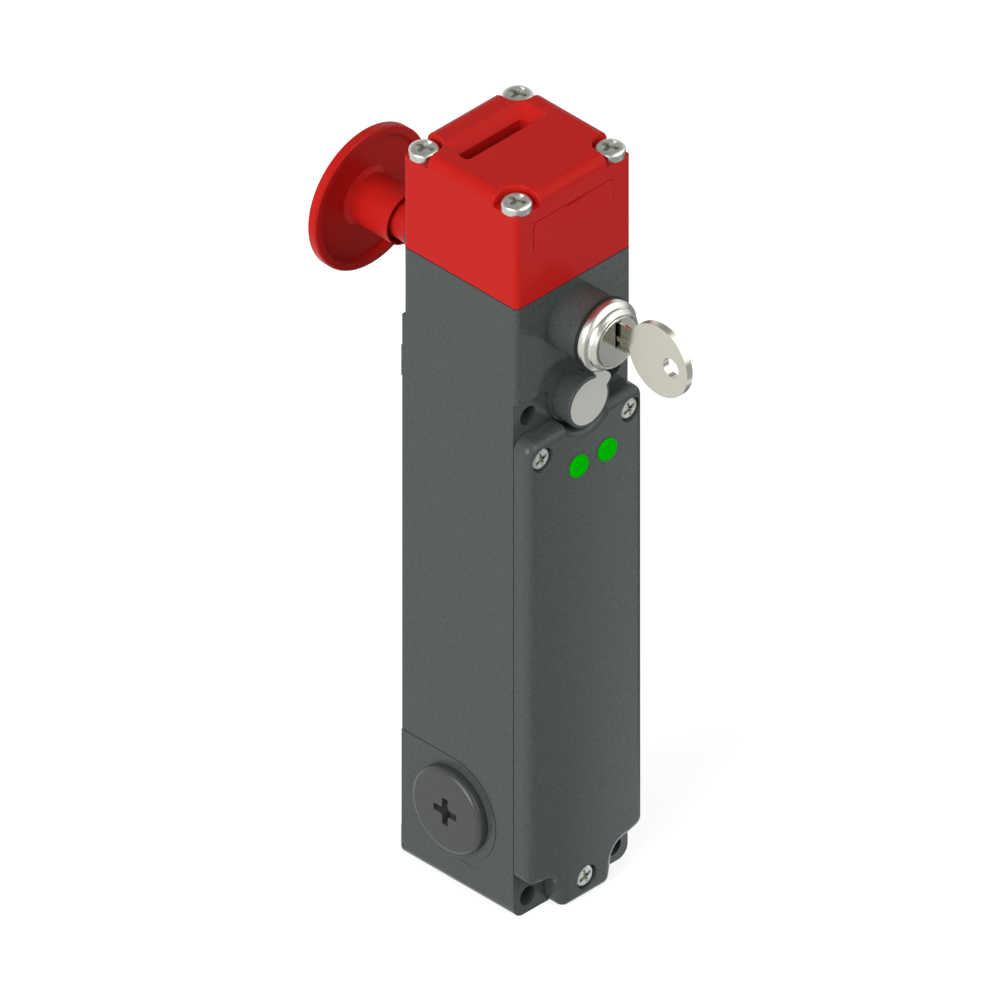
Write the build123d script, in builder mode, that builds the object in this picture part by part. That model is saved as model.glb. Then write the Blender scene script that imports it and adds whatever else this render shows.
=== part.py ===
"""Guard locking switch: a slim die-cast housing with a screwed cover, a plastic head with a turning
cam that takes the door's actuator, a solenoid lock, a key release, a tool release and a mushroom
button at the back for escape.

Frame: millimetres, +Z up, X = Y = 0 on the plan centre of the head, Z = 0 on the bottom of the
housing. The front, with the cover and the key, looks along -Y, and the escape button along +Y.
"""
import math
import os

from build123d import *

os.makedirs("parts", exist_ok=True)

# Overall form of the housing casting
body_width = 40.4
body_depth = 40.0
housing_top_z = 186.4
lower_back_step = 0.35
lower_top_z = 165.7
cover_plane_y = -18.8
wall = 3.0
bottom_wall = 15.5
side_edge_r = 1.3
foot_corner_r = 3.5

# Fixing holes through the casting
fixing_hole_r = 2.75
fixing_x = 15.0
fixing_low_z = 5.0
fixing_high_z = 151.5
fixing_pocket_x = 8.3
fixing_pocket_rise = 5.5
fixing_pocket_r = 2.6
fixing_pad_r = 4.6
fixing_pad_height = 0.33

# Front cover
cover_thickness = 5.87
cover_top_z = 146.7
cover_skin = 2.4
cover_edge_r = 2.4
cover_corner_r = 3.4
cover_notch_gap = 1.1
cover_foot_notch_r = 6.2
cover_foot_edge_z = 12.7
cover_foot_corner_r = 3.0
cover_tongue_corner_r = 2.6
cover_tongue_top_x = 9.4
cover_tongue_end_x = 8.4
cover_back_chamfer = 0.25
gasket_thickness = 0.9
gasket_width = 1.2
gasket_inset = 0.7

# Cover screws
cover_screw_inset = 4.7
cover_screw_z = 141.0
cover_foot_screw_z = 6.0
cover_screw_head_r = 3.1
cover_screw_head_height = 2.1
cover_screw_shank_r = 1.75
cover_screw_length = 10.2
cover_screw_hole_depth = 7.4
cover_counterbore_depth = 2.7
cover_counterbore_gap = 0.35

# Indicator lenses in the cover
lens_r = 3.2
lens_z = 133.2
lens_left_x = -3.1
lens_spacing = 10.1
lens_rise = 0.9
board_thickness = 1.5
board_height = 12.0
board_inset = 1.2
board_gap = 2.6
board_post_r = 1.4
board_post_inset_x = 1.8
board_post_inset_z = 3.0
led_r = 2.4

# Head casing
head_height = 31.6
head_edge_r = 3.1
head_seat_drop = 3.65
head_seat_r = 4.6
head_screw_inset = 3.75
head_seat_rim_r = 0.4
head_foot_chamfer = 0.35
head_screw_head_r = 4.0
head_screw_head_height = 2.55
head_screw_shank_r = 2.0
head_screw_length = 41.0
head_wall_x = 5.5
head_gasket_thickness = 0.8

# Actuator slots: one open in the top, one closed by an insert in the front
slot_length = 22.4
slot_width = 3.4
slot_y = 8.05
slot_lead = 3.07
slot_corner_r = 1.0
slot_mouth_corner_r = 1.3
front_slot_z = 205.6
insert_gap = 0.12
insert_notch_width = 5.6
insert_notch_height = 0.8

# Cam that the actuator turns
cam_r = 11.2
cam_width = 26.0
cam_axis_y = 0.0
cam_axis_z = 198.5
cam_shaft_r = 2.5
cam_swing = 60.0
follower_lift = 4.0
cam_bearing_length = 2.3

# Tool release beside the cover
release_z = 151.5
release_boss_r = 7.3
release_boss_front_y = -25.4
release_collar_gap = 0.6
release_cap_r = 6.45
release_cap_thickness = 1.2
release_tab_width = 5.6
release_tab_reach = 8.9
release_spindle_r = 3.0
release_head_r = 5.6
release_clip_r = 2.3
release_offset = 1.7
release_head_height = 1.6
release_boss_edge_r = 0.4
seal_wire_r = 0.6
seal_wire_x = 1.5
seal_wire_y = -21.1
seal_wire_depth = 3.0

# Key lock
lock_z = 175.0
lock_boss_r = 9.1
lock_boss_front_y = -30.0
lock_barrel_r = 7.5
lock_bezel_r = 9.7
lock_bezel_height = 4.5
lock_plug_r = 6.6
lock_face_r = 6.9
lock_face_thickness = 1.0
lock_plug_rise = 0.2
lock_seal_thickness = 1.0
lock_seal_r = 10.0
lock_barrel_end_y = -11.0
lock_nut_flats = 17.0
lock_nut_thickness = 3.0
lock_cam_thickness = 2.2
lock_cam_offset = 2.8
cam_pin_r = 1.2

# Key
key_thickness = 2.0
key_blade_thickness = 1.5
key_blade_height = 7.4
key_blade_rise = 2.2
key_bow_r = 10.3
key_bow_y = -50.7
key_bow_rise = 2.2
key_hole_r = 2.7
key_hole_reach = 4.5
key_depth = 18.0
keyway_side_play = 0.32
keyway_end_play = 0.15
key_rebate_height = 3.7
key_rebate_depth = 0.65
key_rib_height = 1.4
key_groove_height = 1.6
key_groove_depth = 0.45

# Escape release at the back
escape_z = 175.3
escape_sleeve_r = 6.65
escape_sleeve_end_y = 33.6
escape_rod_r = 5.5
escape_hub_r = 7.2
escape_hub_wall = 0.45
escape_hub_y = 38.85
escape_disc_r = 20.0
escape_disc_front_y = 51.2
escape_disc_back_y = 54.2
escape_dish_rim = 2.1
escape_dish_depth = 1.6
escape_travel = 5.0
escape_tip_r = 2.6
escape_tip_y = 11.0

# Conduit entries
conduit_r = 10.0
conduit_axis_y = 2.15
conduit_axis_z = 24.1
conduit_pad_r = 14.9
conduit_pad_height = 0.22
conduit_boss_depth = 7.5
plug_head_r = 12.2
plug_head_height = 2.6
plug_shank_length = 6.5
plug_gasket_thickness = 0.3
plug_cross_length = 8.0
plug_cross_width = 2.0
plug_cross_corner_r = 0.8

# Locking drive
lock_line_x = -4.0
lock_line_y = 0.0
lock_rod_r = 2.5
lock_stroke = 4.0
solenoid_bottom_z = 84.0
solenoid_height = 44.0
solenoid_width = 24.0
solenoid_depth = 25.0
solenoid_plate = 2.0
pole_height = 7.7
coil_r = 9.4
bobbin_tube_r = 5.9
bobbin_flange_r = 9.8
bobbin_flange = 1.2
armature_r = 4.8
spring_wire_r = 0.45
lock_spring_length = 15.0
solenoid_screw_reach = 9.5

# Release yoke on the locking rod
yoke_front_y = -5.2
yoke_back_y = -3.7
yoke_left_x = -8.0
yoke_right_x = 6.5
yoke_hub_r = 4.2
yoke_hub_height = 3.0

# Switching drive
follower_x = 7.0
follower_y = 0.0
follower_pin_r = 1.6
follower_leg_x = 13.2
follower_leg_width = 3.6
block_bottom_z = 40.0
block_height = 30.0
block_width = 31.0
block_depth = 24.0
bridge_z = 60.0
bridge_reach = 8.0
bridge_width = 2.2
bridge_thickness = 0.8
contact_r = 0.9
contact_height = 0.5
fixed_contact_thickness = 0.8
leg_play = 0.2
leg_bottom_z = 52.0
well_bottom_z = 45.0
follower_bar_rise = 3.0
follower_bar_height = 2.8
terminal_screw_r = 1.9
terminal_screw_length = 7.0
terminal_head_height = 1.3
terminal_left_x = -10.0
terminal_pitch = 5.5
terminal_columns = 4
terminal_inset = 9.5

# Pan heads with a cross recess, as shares of the head's height and radius
pan_edge_share = 0.45
cross_length_share = 1.15
cross_width_share = 0.34

# Small screws inside
small_screw_head_r = 2.5
small_screw_head_height = 1.7
small_screw_r = 1.5
small_screw_grip = 4.5
earth_screw_head_r = 3.4
earth_screw_head_height = 2.2
earth_screw_r = 2.0
earth_screw_length = 5.0
earth_boss_r = 4.0
screw_tip_gap = 0.6

# Fits
fit = 0.05
running_fit = 0.1
seat_gap = 0.3

# Places that follow from the sizes above
half_width = body_width / 2
upper_front_y = -body_depth / 2
upper_back_y = body_depth / 2
lower_back_y = upper_back_y + lower_back_step
cover_front_y = cover_plane_y - cover_thickness
head_top_z = housing_top_z + head_height
head_seat_z = head_top_z - head_seat_drop
head_screw_x = half_width - head_screw_inset
head_screw_y = upper_back_y - head_screw_inset
head_screw_places = [(sx * head_screw_x, sy * head_screw_y) for sx in (-1, 1) for sy in (-1, 1)]
cover_screw_x = half_width - cover_screw_inset
cover_screw_places = [(-cover_screw_x, cover_screw_z), (cover_screw_x, cover_screw_z), (0, cover_foot_screw_z)]
cavity_half_x = half_width - wall
cavity_back_y = lower_back_y - wall
neck_half_x = 10.2
neck_half_y = 9.0
tower_half_x = 12.8
tower_half_y = 16.4
tower_floor_z = 158.0
tower_roof = 2.2
cavity_top_z = 136.5
earth_screw_z = 27.0
earth_boss_y = 13.0
solenoid_top_z = solenoid_bottom_z + solenoid_height
solenoid_middle_z = solenoid_bottom_z + solenoid_height / 2
solenoid_screw_places = [(lock_line_x + side * solenoid_screw_reach, solenoid_middle_z) for side in (-1, 1)]
yoke_bottom_z = solenoid_top_z + lock_spring_length
yoke_top_z = lock_z - lock_cam_offset - cam_pin_r - 0.4
follower_bar_z = solenoid_top_z + follower_bar_rise
block_top_z = block_bottom_z + block_height
block_screw_places = [(-12.5, block_top_z - 3.5), (7.8, block_bottom_z + 3.5)]
terminal_places = [(terminal_left_x + terminal_pitch * column, z) for column in range(terminal_columns)
                   for z in (block_bottom_z + terminal_inset, block_top_z - terminal_inset)]


def facing_front(y, x=0.0, z=0.0):
    """Plane across Y, seen from the front: its x is +X, its y is +Z and it looks along -Y."""
    return Plane(origin=(x, y, z), x_dir=(1, 0, 0), z_dir=(0, -1, 0))


def facing_back(y, x=0.0, z=0.0):
    """Plane across Y, seen from the back: its x is -X, its y is +Z and it looks along +Y."""
    return Plane(origin=(x, y, z), x_dir=(-1, 0, 0), z_dir=(0, 1, 0))


def facing_side(side, x, y=0.0, z=0.0):
    """Plane across X that looks along -X for side -1 and along +X for side 1, with +Z up."""
    return Plane(origin=(x, y, z), x_dir=(0, side, 0), z_dir=(side, 0, 0))


def level(z, x=0.0, y=0.0):
    """Level plane that looks up."""
    return Plane(origin=(x, y, z), x_dir=(1, 0, 0), z_dir=(0, 0, 1))


def keep(piece, name):
    """Label a finished piece and write its STEP file."""
    piece.part.label = name
    export_step(piece.part, f"parts/{name}.step")


def pan_screws(name, seat, places, head_r, head_height, shank_r, length):
    """Cross-recessed pan head screws with their heads on the seat plane, at places on that plane."""
    with BuildPart() as screws:
        with BuildSketch(seat):
            with Locations(places):
                Circle(head_r)
        extrude(amount=head_height)
        fillet(screws.edges().group_by(Axis(seat.origin, seat.z_dir))[-1], head_height * pan_edge_share)
        with BuildSketch(seat):
            with Locations(places):
                Circle(shank_r)
        extrude(amount=-length)
        with BuildSketch(seat.offset(head_height)):
            with Locations(places):
                Rectangle(head_r * cross_length_share, head_r * cross_width_share)
                Rectangle(head_r * cross_width_share, head_r * cross_length_share)
        extrude(amount=-head_height * 0.7, taper=6, mode=Mode.SUBTRACT)
    keep(screws, name)
    return screws


def coil_spring(name, base, mean_r, wire_r, length, turns):
    """Open coil spring that stands on the base plane, with its centre line inside its length."""
    with BuildPart() as spring:
        rise = length - 2 * wire_r
        with BuildLine(base.offset(wire_r)):
            path = Helix(pitch=rise / turns, height=rise, radius=mean_r)
        with BuildSketch(Plane(origin=path @ 0, z_dir=path % 0)):
            RegularPolygon(wire_r, 6)
        sweep(path=path, is_frenet=True)
    keep(spring, name)
    return spring


# Housing casting
with BuildPart() as housing:
    with BuildSketch(facing_front(lower_back_y)) as lower_outline:
        with Locations((0, lower_top_z / 2)):
            Rectangle(body_width, lower_top_z)
        fillet(lower_outline.vertices().group_by(Axis.Y)[0], foot_corner_r)
    extrude(amount=lower_back_y - cover_plane_y)
    with BuildSketch(level(release_z)):
        RectangleRounded(body_width, body_depth, side_edge_r)
    extrude(amount=housing_top_z - release_z)
    # Pockets beside the tool release let the fixing screws seat on the machined face
    with BuildSketch(facing_front(upper_front_y)) as pockets:
        for side in (-1, 1):
            with Locations((side * (fixing_pocket_x + half_width) / 2, release_z)):
                Rectangle(half_width - fixing_pocket_x, 2 * fixing_pocket_rise)
        inner = [v for v in pockets.vertices() if abs(v.X) < fixing_pocket_x + 1 and v.Y > release_z]
        fillet(inner, fixing_pocket_r)
    extrude(amount=upper_front_y - cover_plane_y, mode=Mode.SUBTRACT)
    # Collar and boss of the tool release, boss of the key lock
    with BuildSketch(facing_front(cover_plane_y, z=release_z)):
        Circle(release_boss_r + release_collar_gap)
    extrude(amount=cover_plane_y - upper_front_y)
    with BuildSketch(facing_front(cover_plane_y, z=release_z)):
        Circle(release_boss_r)
    extrude(amount=cover_plane_y - release_boss_front_y)
    fillet(housing.faces().sort_by(Axis.Y)[0].edges(), release_boss_edge_r)
    with BuildSketch(facing_front(upper_front_y, z=lock_z)):
        Circle(lock_boss_r)
    extrude(amount=upper_front_y - lock_boss_front_y)
    # Raised pads round the side entries, and round the fixing holes at the back
    for side in (-1, 1):
        with BuildSketch(facing_side(side, side * half_width)) as pad:
            with Locations((side * conduit_axis_y, conduit_axis_z)):
                Circle(conduit_pad_r)
            pad_back = lower_back_y - conduit_axis_y
            pad_top = conduit_axis_z + conduit_pad_r
            with Locations((side * (conduit_axis_y + pad_back / 2), (foot_corner_r + pad_top) / 2)):
                Rectangle(pad_back, pad_top - foot_corner_r)
        extrude(amount=conduit_pad_height)
    fixing_places = [(sx * fixing_x, z) for sx in (-1, 1) for z in (fixing_low_z, fixing_high_z)]
    pad_inner_x = fixing_x - fixing_pad_r
    pad_centre_x = (pad_inner_x + half_width) / 2
    low_pad_top = fixing_low_z + fixing_pad_r
    with BuildSketch(facing_back(lower_back_y)) as fixing_pads:
        with Locations((-pad_centre_x, low_pad_top / 2), (pad_centre_x, low_pad_top / 2)):
            Rectangle(half_width - pad_inner_x, low_pad_top)
        fillet([v for v in fixing_pads.vertices() if abs(v.X) > fixing_x and v.Y < fixing_low_z], foot_corner_r)
        with Locations((-pad_centre_x, fixing_high_z), (pad_centre_x, fixing_high_z)):
            Rectangle(half_width - pad_inner_x, 2 * fixing_pad_r)
    extrude(amount=fixing_pad_height)
    # Hollow for the coil, the contacts and the wires, open to the front
    with BuildSketch(facing_front(cavity_back_y)) as hollow:
        with Locations((0, (bottom_wall + cavity_top_z) / 2)):
            Rectangle(2 * cavity_half_x, cavity_top_z - bottom_wall)
        for side in (-1, 1):
            with Locations((side * half_width, conduit_axis_z)):
                Rectangle(2 * conduit_boss_depth, 2.3 * conduit_r, mode=Mode.SUBTRACT)
    extrude(amount=cavity_back_y - cover_plane_y, mode=Mode.SUBTRACT)
    # Pads on the back wall for the solenoid and the contact block, and a boss for the earth screw
    mounting_pads = [
        (lock_line_x, solenoid_middle_z, solenoid_width, solenoid_height - 8, solenoid_depth / 2),
        (0, block_bottom_z + block_height / 2, block_width - 2, block_height - 4, block_depth / 2),
    ]
    for pad_x, pad_z, pad_width, pad_height, pad_front_y in mounting_pads:
        with BuildSketch(facing_front(cavity_back_y, pad_x, pad_z)):
            Rectangle(pad_width, pad_height)
        extrude(amount=cavity_back_y - pad_front_y)
    with BuildSketch(facing_front(cavity_back_y, z=earth_screw_z)):
        Circle(earth_boss_r)
    extrude(amount=cavity_back_y - earth_boss_y)
    # Neck between the fixing holes, and the tower under the head
    with BuildSketch(level(cavity_top_z, y=lock_line_y)):
        Rectangle(2 * neck_half_x, 2 * neck_half_y)
    extrude(amount=tower_floor_z - cavity_top_z, mode=Mode.SUBTRACT)
    with BuildSketch(level(tower_floor_z)):
        Rectangle(2 * tower_half_x, 2 * tower_half_y)
    extrude(amount=housing_top_z - tower_roof - tower_floor_z, mode=Mode.SUBTRACT)
    # Bores: lock, tool release, escape sleeve, rods, conduit entries and screws
    with BuildSketch(facing_front(0, z=lock_z)):
        Circle(lock_barrel_r + fit)
    extrude(amount=-lock_boss_front_y, mode=Mode.SUBTRACT)
    with BuildSketch(facing_front(0, z=release_z)):
        Circle(release_spindle_r + running_fit)
    extrude(amount=-release_boss_front_y, mode=Mode.SUBTRACT)
    release_recess_y = release_boss_front_y + release_cap_thickness + release_head_height + 0.6
    with BuildSketch(facing_front(release_recess_y, z=release_z)):
        Circle(release_cap_r + fit)
    extrude(amount=release_recess_y - release_boss_front_y, mode=Mode.SUBTRACT)
    with BuildSketch(facing_front(release_boss_front_y + release_cap_thickness, z=release_z)) as tab_slot:
        with Locations(Location((0, 0), 45)):
            Rectangle(2 * release_boss_r, release_tab_width + 2 * fit, align=(Align.MIN, Align.CENTER))
    extrude(amount=release_cap_thickness, mode=Mode.SUBTRACT)
    with BuildSketch(facing_back(0, z=escape_z)):
        Circle(escape_sleeve_r + fit)
    extrude(amount=upper_back_y, mode=Mode.SUBTRACT)
    with BuildSketch(level(housing_top_z - tower_roof)):
        with Locations((lock_line_x, lock_line_y)):
            Circle(lock_rod_r + running_fit)
        with Locations((follower_x, follower_y)):
            Circle(follower_pin_r + running_fit)
        with Locations(head_screw_places):
            Circle(head_screw_shank_r + fit)
    extrude(amount=tower_roof, mode=Mode.SUBTRACT)
    with BuildSketch(level(housing_top_z)):
        with Locations(head_screw_places):
            Circle(head_screw_shank_r + fit)
    extrude(amount=-(head_screw_length - (head_seat_z - housing_top_z) + 1), mode=Mode.SUBTRACT)
    with BuildSketch(facing_front(lower_back_y + fixing_pad_height)):
        with Locations(fixing_places):
            Circle(fixing_hole_r)
    extrude(amount=lower_back_y + fixing_pad_height - upper_front_y, mode=Mode.SUBTRACT)
    with BuildSketch(facing_front(cover_plane_y)):
        with Locations(cover_screw_places):
            Circle(cover_screw_shank_r + fit)
    extrude(amount=-cover_screw_hole_depth, mode=Mode.SUBTRACT)
    for places, seat_y, hole_r, depth in (
        (solenoid_screw_places, solenoid_depth / 2, small_screw_r, small_screw_grip + screw_tip_gap),
        (block_screw_places, block_depth / 2, small_screw_r, small_screw_grip + screw_tip_gap),
        ([(0, earth_screw_z)], earth_boss_y, earth_screw_r, earth_screw_length + screw_tip_gap),
    ):
        with BuildSketch(facing_front(seat_y)):
            with Locations(places):
                Circle(hole_r + fit)
        extrude(amount=-depth, mode=Mode.SUBTRACT)
    for side in (-1, 1):
        with BuildSketch(facing_side(side, 0, conduit_axis_y, conduit_axis_z)):
            Circle(conduit_r)
        extrude(amount=half_width + conduit_pad_height, mode=Mode.SUBTRACT)
    with BuildSketch(level(0)):
        Circle(conduit_r)
    extrude(amount=bottom_wall, mode=Mode.SUBTRACT)
    with BuildSketch(level(release_z + release_boss_r, seal_wire_x, seal_wire_y)):
        Circle(seal_wire_r)
    extrude(amount=-seal_wire_depth, mode=Mode.SUBTRACT)
keep(housing, "housing")


def cover_outline(gap=0.0):
    """Edges of the cover seen from the front, drawn in by a gap."""
    left, right = -half_width + gap, half_width - gap
    top = cover_top_z - gap
    notch_r = release_boss_r + cover_notch_gap + gap
    notch_x = math.sqrt(notch_r**2 - (release_z - top) ** 2)
    foot_r = cover_foot_notch_r + gap
    foot_top = fixing_low_z + foot_r
    edge = cover_foot_edge_z + gap
    with BuildLine(facing_front(cover_plane_y)) as outline:
        for side, end in ((-1, left), (1, right)):
            Line((side * notch_x, top), (end, top))
            Line((end, top), (end, edge))
            Line((end, edge), (side * fixing_x, foot_top))
            slant = foot_r / math.sqrt(2)
            middle = (side * (fixing_x - slant), fixing_low_z + slant)
            tongue_top = (side * (cover_tongue_top_x - gap), fixing_low_z)
            ThreePointArc((side * fixing_x, foot_top), middle, tongue_top)
            Line(tongue_top, (side * (cover_tongue_end_x - gap), gap))
        Line((gap - cover_tongue_end_x, gap), (cover_tongue_end_x - gap, gap))
        ThreePointArc((-notch_x, top), (0, release_z - notch_r), (notch_x, top))
    return outline.line


lens_places = [(lens_left_x, lens_z), (lens_left_x + lens_spacing, lens_z)]
lens_back_y = cover_front_y + cover_skin + 0.4
board_front_y = lens_back_y + seat_gap + board_gap
board_x = lens_left_x + lens_spacing / 2
board_width = lens_spacing + 4 * lens_r
board_top = cavity_top_z - board_inset
board_post_reach = board_width / 2 - board_post_inset_x
board_post_places = [(board_x + side * board_post_reach, board_top - board_post_inset_z) for side in (-1, 1)]


def cover_seal_ring():
    """Ring between the rims of cover and housing."""
    width = 2 * (cavity_half_x + gasket_inset)
    height = cavity_top_z - bottom_wall + 2 * gasket_inset
    with BuildPart() as ring:
        with BuildSketch(facing_front(cover_plane_y)):
            with Locations((0, (bottom_wall + cavity_top_z) / 2)):
                RectangleRounded(width + 2 * gasket_width, height + 2 * gasket_width, cover_corner_r + 1)
                RectangleRounded(width, height, cover_corner_r, mode=Mode.SUBTRACT)
        extrude(amount=gasket_thickness)
    return ring.part


# Front cover: a shallow tray with its rim on the machined face of the housing
with BuildPart() as front_cover:
    with BuildSketch(facing_front(cover_plane_y)) as cover_face:
        add(cover_outline())
        make_face()
        side_corners = cover_face.vertices().filter_by(lambda v: abs(v.X) > half_width - 1).sort_by(Axis.Y)
        fillet(side_corners[-2:], cover_corner_r)
        side_corners = cover_face.vertices().filter_by(lambda v: abs(v.X) > half_width - 1).sort_by(Axis.Y)
        fillet(side_corners[:2], cover_foot_corner_r)
        fillet(cover_face.vertices().group_by(Axis.Y)[0], cover_tongue_corner_r)
    extrude(amount=cover_thickness)
    fillet(front_cover.faces().sort_by(Axis.Y)[0].outer_wire().edges(), cover_edge_r)
    chamfer(front_cover.faces().sort_by(Axis.Y)[-1].outer_wire().edges(), cover_back_chamfer)
    pocket_top = cover_screw_z - cover_screw_head_r - 2.0
    pocket_bottom = cover_foot_edge_z + 3.0
    with BuildSketch(facing_front(cover_plane_y)):
        with Locations((0, (pocket_top + pocket_bottom) / 2)):
            RectangleRounded(2 * cavity_half_x, pocket_top - pocket_bottom, cover_corner_r)
    extrude(amount=cover_thickness - cover_skin, mode=Mode.SUBTRACT)
    with BuildSketch(facing_front(board_front_y)):
        with Locations(board_post_places):
            Circle(board_post_r)
    extrude(amount=board_front_y - cover_front_y - 1.0)
    with BuildSketch(facing_front(cover_front_y + cover_counterbore_depth)):
        with Locations(cover_screw_places):
            Circle(cover_screw_head_r + cover_counterbore_gap)
    extrude(amount=cover_counterbore_depth, mode=Mode.SUBTRACT)
    with BuildSketch(facing_front(cover_plane_y)):
        with Locations(cover_screw_places):
            Circle(cover_screw_shank_r + 2 * fit)
    extrude(amount=cover_thickness, mode=Mode.SUBTRACT)
    with BuildSketch(facing_front(cover_plane_y)):
        with Locations(lens_places):
            Circle(lens_r + fit)
    extrude(amount=cover_thickness, mode=Mode.SUBTRACT)
    add(cover_seal_ring(), mode=Mode.SUBTRACT)
keep(front_cover, "front_cover")

# Seal in a groove of the cover's rim, pressed on the machined face
with BuildPart() as cover_gasket:
    add(cover_seal_ring())
keep(cover_gasket, "cover_gasket")

for spot, place in zip(("left", "right", "foot"), cover_screw_places):
    pan_screws(f"cover_screw_{spot}", facing_front(cover_front_y + cover_counterbore_depth), [place],
               cover_screw_head_r, cover_screw_head_height, cover_screw_shank_r, cover_screw_length)

# Indicator lenses, and the board with the two lamps behind them
for spot, (x, z) in zip(("left", "right"), lens_places):
    with BuildPart() as lens:
        with BuildSketch(facing_front(lens_back_y, x, z)):
            Circle(lens_r)
        extrude(amount=lens_back_y - cover_front_y + lens_rise)
        fillet(lens.faces().sort_by(Axis.Y)[0].edges(), lens_rise * 0.85)
    keep(lens, f"lens_{spot}")

with BuildPart() as indicator_board:
    with BuildSketch(facing_front(board_front_y + board_thickness)):
        with Locations((board_x, board_top - board_height / 2)):
            Rectangle(board_width, board_height)
    extrude(amount=board_thickness)
    with BuildSketch(facing_front(board_front_y)):
        with Locations(lens_places):
            Circle(led_r)
    extrude(amount=board_front_y - lens_back_y - seat_gap)
keep(indicator_board, "indicator_board")

top_mouth = level(head_top_z, y=slot_y)
front_mouth = facing_front(upper_front_y, z=front_slot_z)
cam_room_x = cam_width / 2 + 0.4
cam_room_y = cam_r + 1.2
cam_room_top_z = cam_axis_z + cam_r + 1.2
bearing_reach = cam_room_x + cam_bearing_length
seal_reach = bearing_reach + 0.3 + gasket_width
seal_inside = seal_reach - gasket_width
seal_corner_r = 9.0

# Head casing with a lead-in at the top and one in the front
with BuildPart() as head_casing:
    with BuildSketch(level(housing_top_z)):
        Rectangle(body_width, body_depth)
    extrude(amount=head_height)
    fillet(head_casing.faces().sort_by(Axis.Z)[-1].edges(), head_edge_r)
    with BuildSketch(level(head_seat_z)) as seats:
        reach = head_screw_inset + head_seat_r
        for x, y in head_screw_places:
            outer_x, outer_y = math.copysign(half_width, x), math.copysign(upper_back_y, y)
            with Locations((outer_x, outer_y)):
                Rectangle(2 * reach, 2 * reach)
        inner = [v for v in seats.vertices() if abs(v.X) < head_screw_x and abs(v.Y) < head_screw_y]
        fillet(inner, head_seat_r)
    extrude(amount=head_seat_drop, mode=Mode.SUBTRACT)
    corners = [e for e in head_casing.edges().filter_by(Axis.Z)
               if abs(e.center().X) > half_width - 1 and abs(e.center().Y) > upper_back_y - 1]
    fillet(corners, side_edge_r)
    rims = [e for e in head_casing.edges() if e.center().Z > head_seat_z + 0.1
            and abs(e.center().X) > half_width - reach - 0.1 and abs(e.center().Y) > upper_back_y - reach - 0.1
            and (e.center().Z > head_top_z - head_edge_r + 0.1 or abs(e.center().X) > half_width - 0.1
                 or abs(e.center().Y) > upper_back_y - 0.1)]
    rims = [e for e in rims if e.geom_type != GeomType.LINE or abs(e.tangent_at(0.5).Z) < 0.9
            or abs(e.center().X) > half_width - 0.1 or abs(e.center().Y) > upper_back_y - 0.1]
    fillet(rims, head_seat_rim_r)
    chamfer(head_casing.faces().sort_by(Axis.Z)[0].outer_wire().edges(), head_foot_chamfer)
    with BuildSketch(level(housing_top_z)):
        Rectangle(2 * cam_room_x, 2 * cam_room_y)
    extrude(amount=cam_room_top_z - housing_top_z, mode=Mode.SUBTRACT)
    for mouth in (top_mouth, front_mouth):
        with BuildSketch(mouth):
            RectangleRounded(slot_length + 2 * slot_lead, slot_width + 2 * slot_lead, slot_mouth_corner_r)
        with BuildSketch(mouth.offset(-slot_lead)):
            RectangleRounded(slot_length, slot_width, slot_corner_r)
        loft(ruled=True, mode=Mode.SUBTRACT)
        with BuildSketch(mouth):
            RectangleRounded(slot_length, slot_width, slot_corner_r)
        extrude(amount=-2.6 * slot_lead, mode=Mode.SUBTRACT)
    # Open bearings for the cam's shaft, and a groove for the seal under the head
    with BuildSketch(facing_side(1, -bearing_reach, cam_axis_y, cam_axis_z)):
        Circle(cam_shaft_r + fit)
        with Locations((0, -(cam_axis_z - housing_top_z) / 2)):
            Rectangle(2 * (cam_shaft_r + fit), cam_axis_z - housing_top_z)
    extrude(amount=2 * bearing_reach, mode=Mode.SUBTRACT)
    with BuildSketch(level(housing_top_z)):
        with Locations(head_screw_places):
            Circle(head_screw_shank_r + 2 * running_fit)
    extrude(amount=head_height, mode=Mode.SUBTRACT)
    with BuildSketch(level(housing_top_z)):
        RectangleRounded(2 * seal_reach, 2 * seal_reach, seal_corner_r)
        RectangleRounded(2 * seal_inside, 2 * seal_inside, seal_corner_r - gasket_width, mode=Mode.SUBTRACT)
    extrude(amount=head_gasket_thickness, mode=Mode.SUBTRACT)
keep(head_casing, "head_casing")

# Insert that closes the front slot, with a notch to pry it out
with BuildPart() as slot_insert:
    insert_length = slot_length + 2 * slot_lead - 2 * insert_gap
    insert_height = slot_width + 2 * slot_lead - 2 * insert_gap
    with BuildSketch(front_mouth):
        RectangleRounded(insert_length, insert_height, slot_mouth_corner_r)
    with BuildSketch(front_mouth.offset(insert_gap - slot_lead)):
        RectangleRounded(slot_length, slot_width, slot_corner_r)
    loft(ruled=True)
    with BuildSketch(front_mouth):
        RectangleRounded(slot_length - 2 * insert_gap, slot_width - 2 * insert_gap, slot_corner_r)
    extrude(amount=-1.7 * slot_lead)
    with BuildSketch(front_mouth):
        with Locations((0.3, (insert_height - insert_notch_height) / 2)):
            Rectangle(insert_notch_width, insert_notch_height)
    extrude(amount=-0.5, mode=Mode.SUBTRACT)
keep(slot_insert, "slot_insert")

# Seal in the groove under the head
with BuildPart() as head_gasket:
    with BuildSketch(level(housing_top_z)):
        RectangleRounded(2 * seal_reach, 2 * seal_reach, seal_corner_r)
        RectangleRounded(2 * seal_inside, 2 * seal_inside, seal_corner_r - gasket_width, mode=Mode.SUBTRACT)
    extrude(amount=head_gasket_thickness)
keep(head_gasket, "head_gasket")

for number, place in enumerate(head_screw_places, start=1):
    pan_screws(f"head_screw_{number}", level(head_seat_z), [place], head_screw_head_r, head_screw_head_height,
               head_screw_shank_r, head_screw_length)

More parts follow.
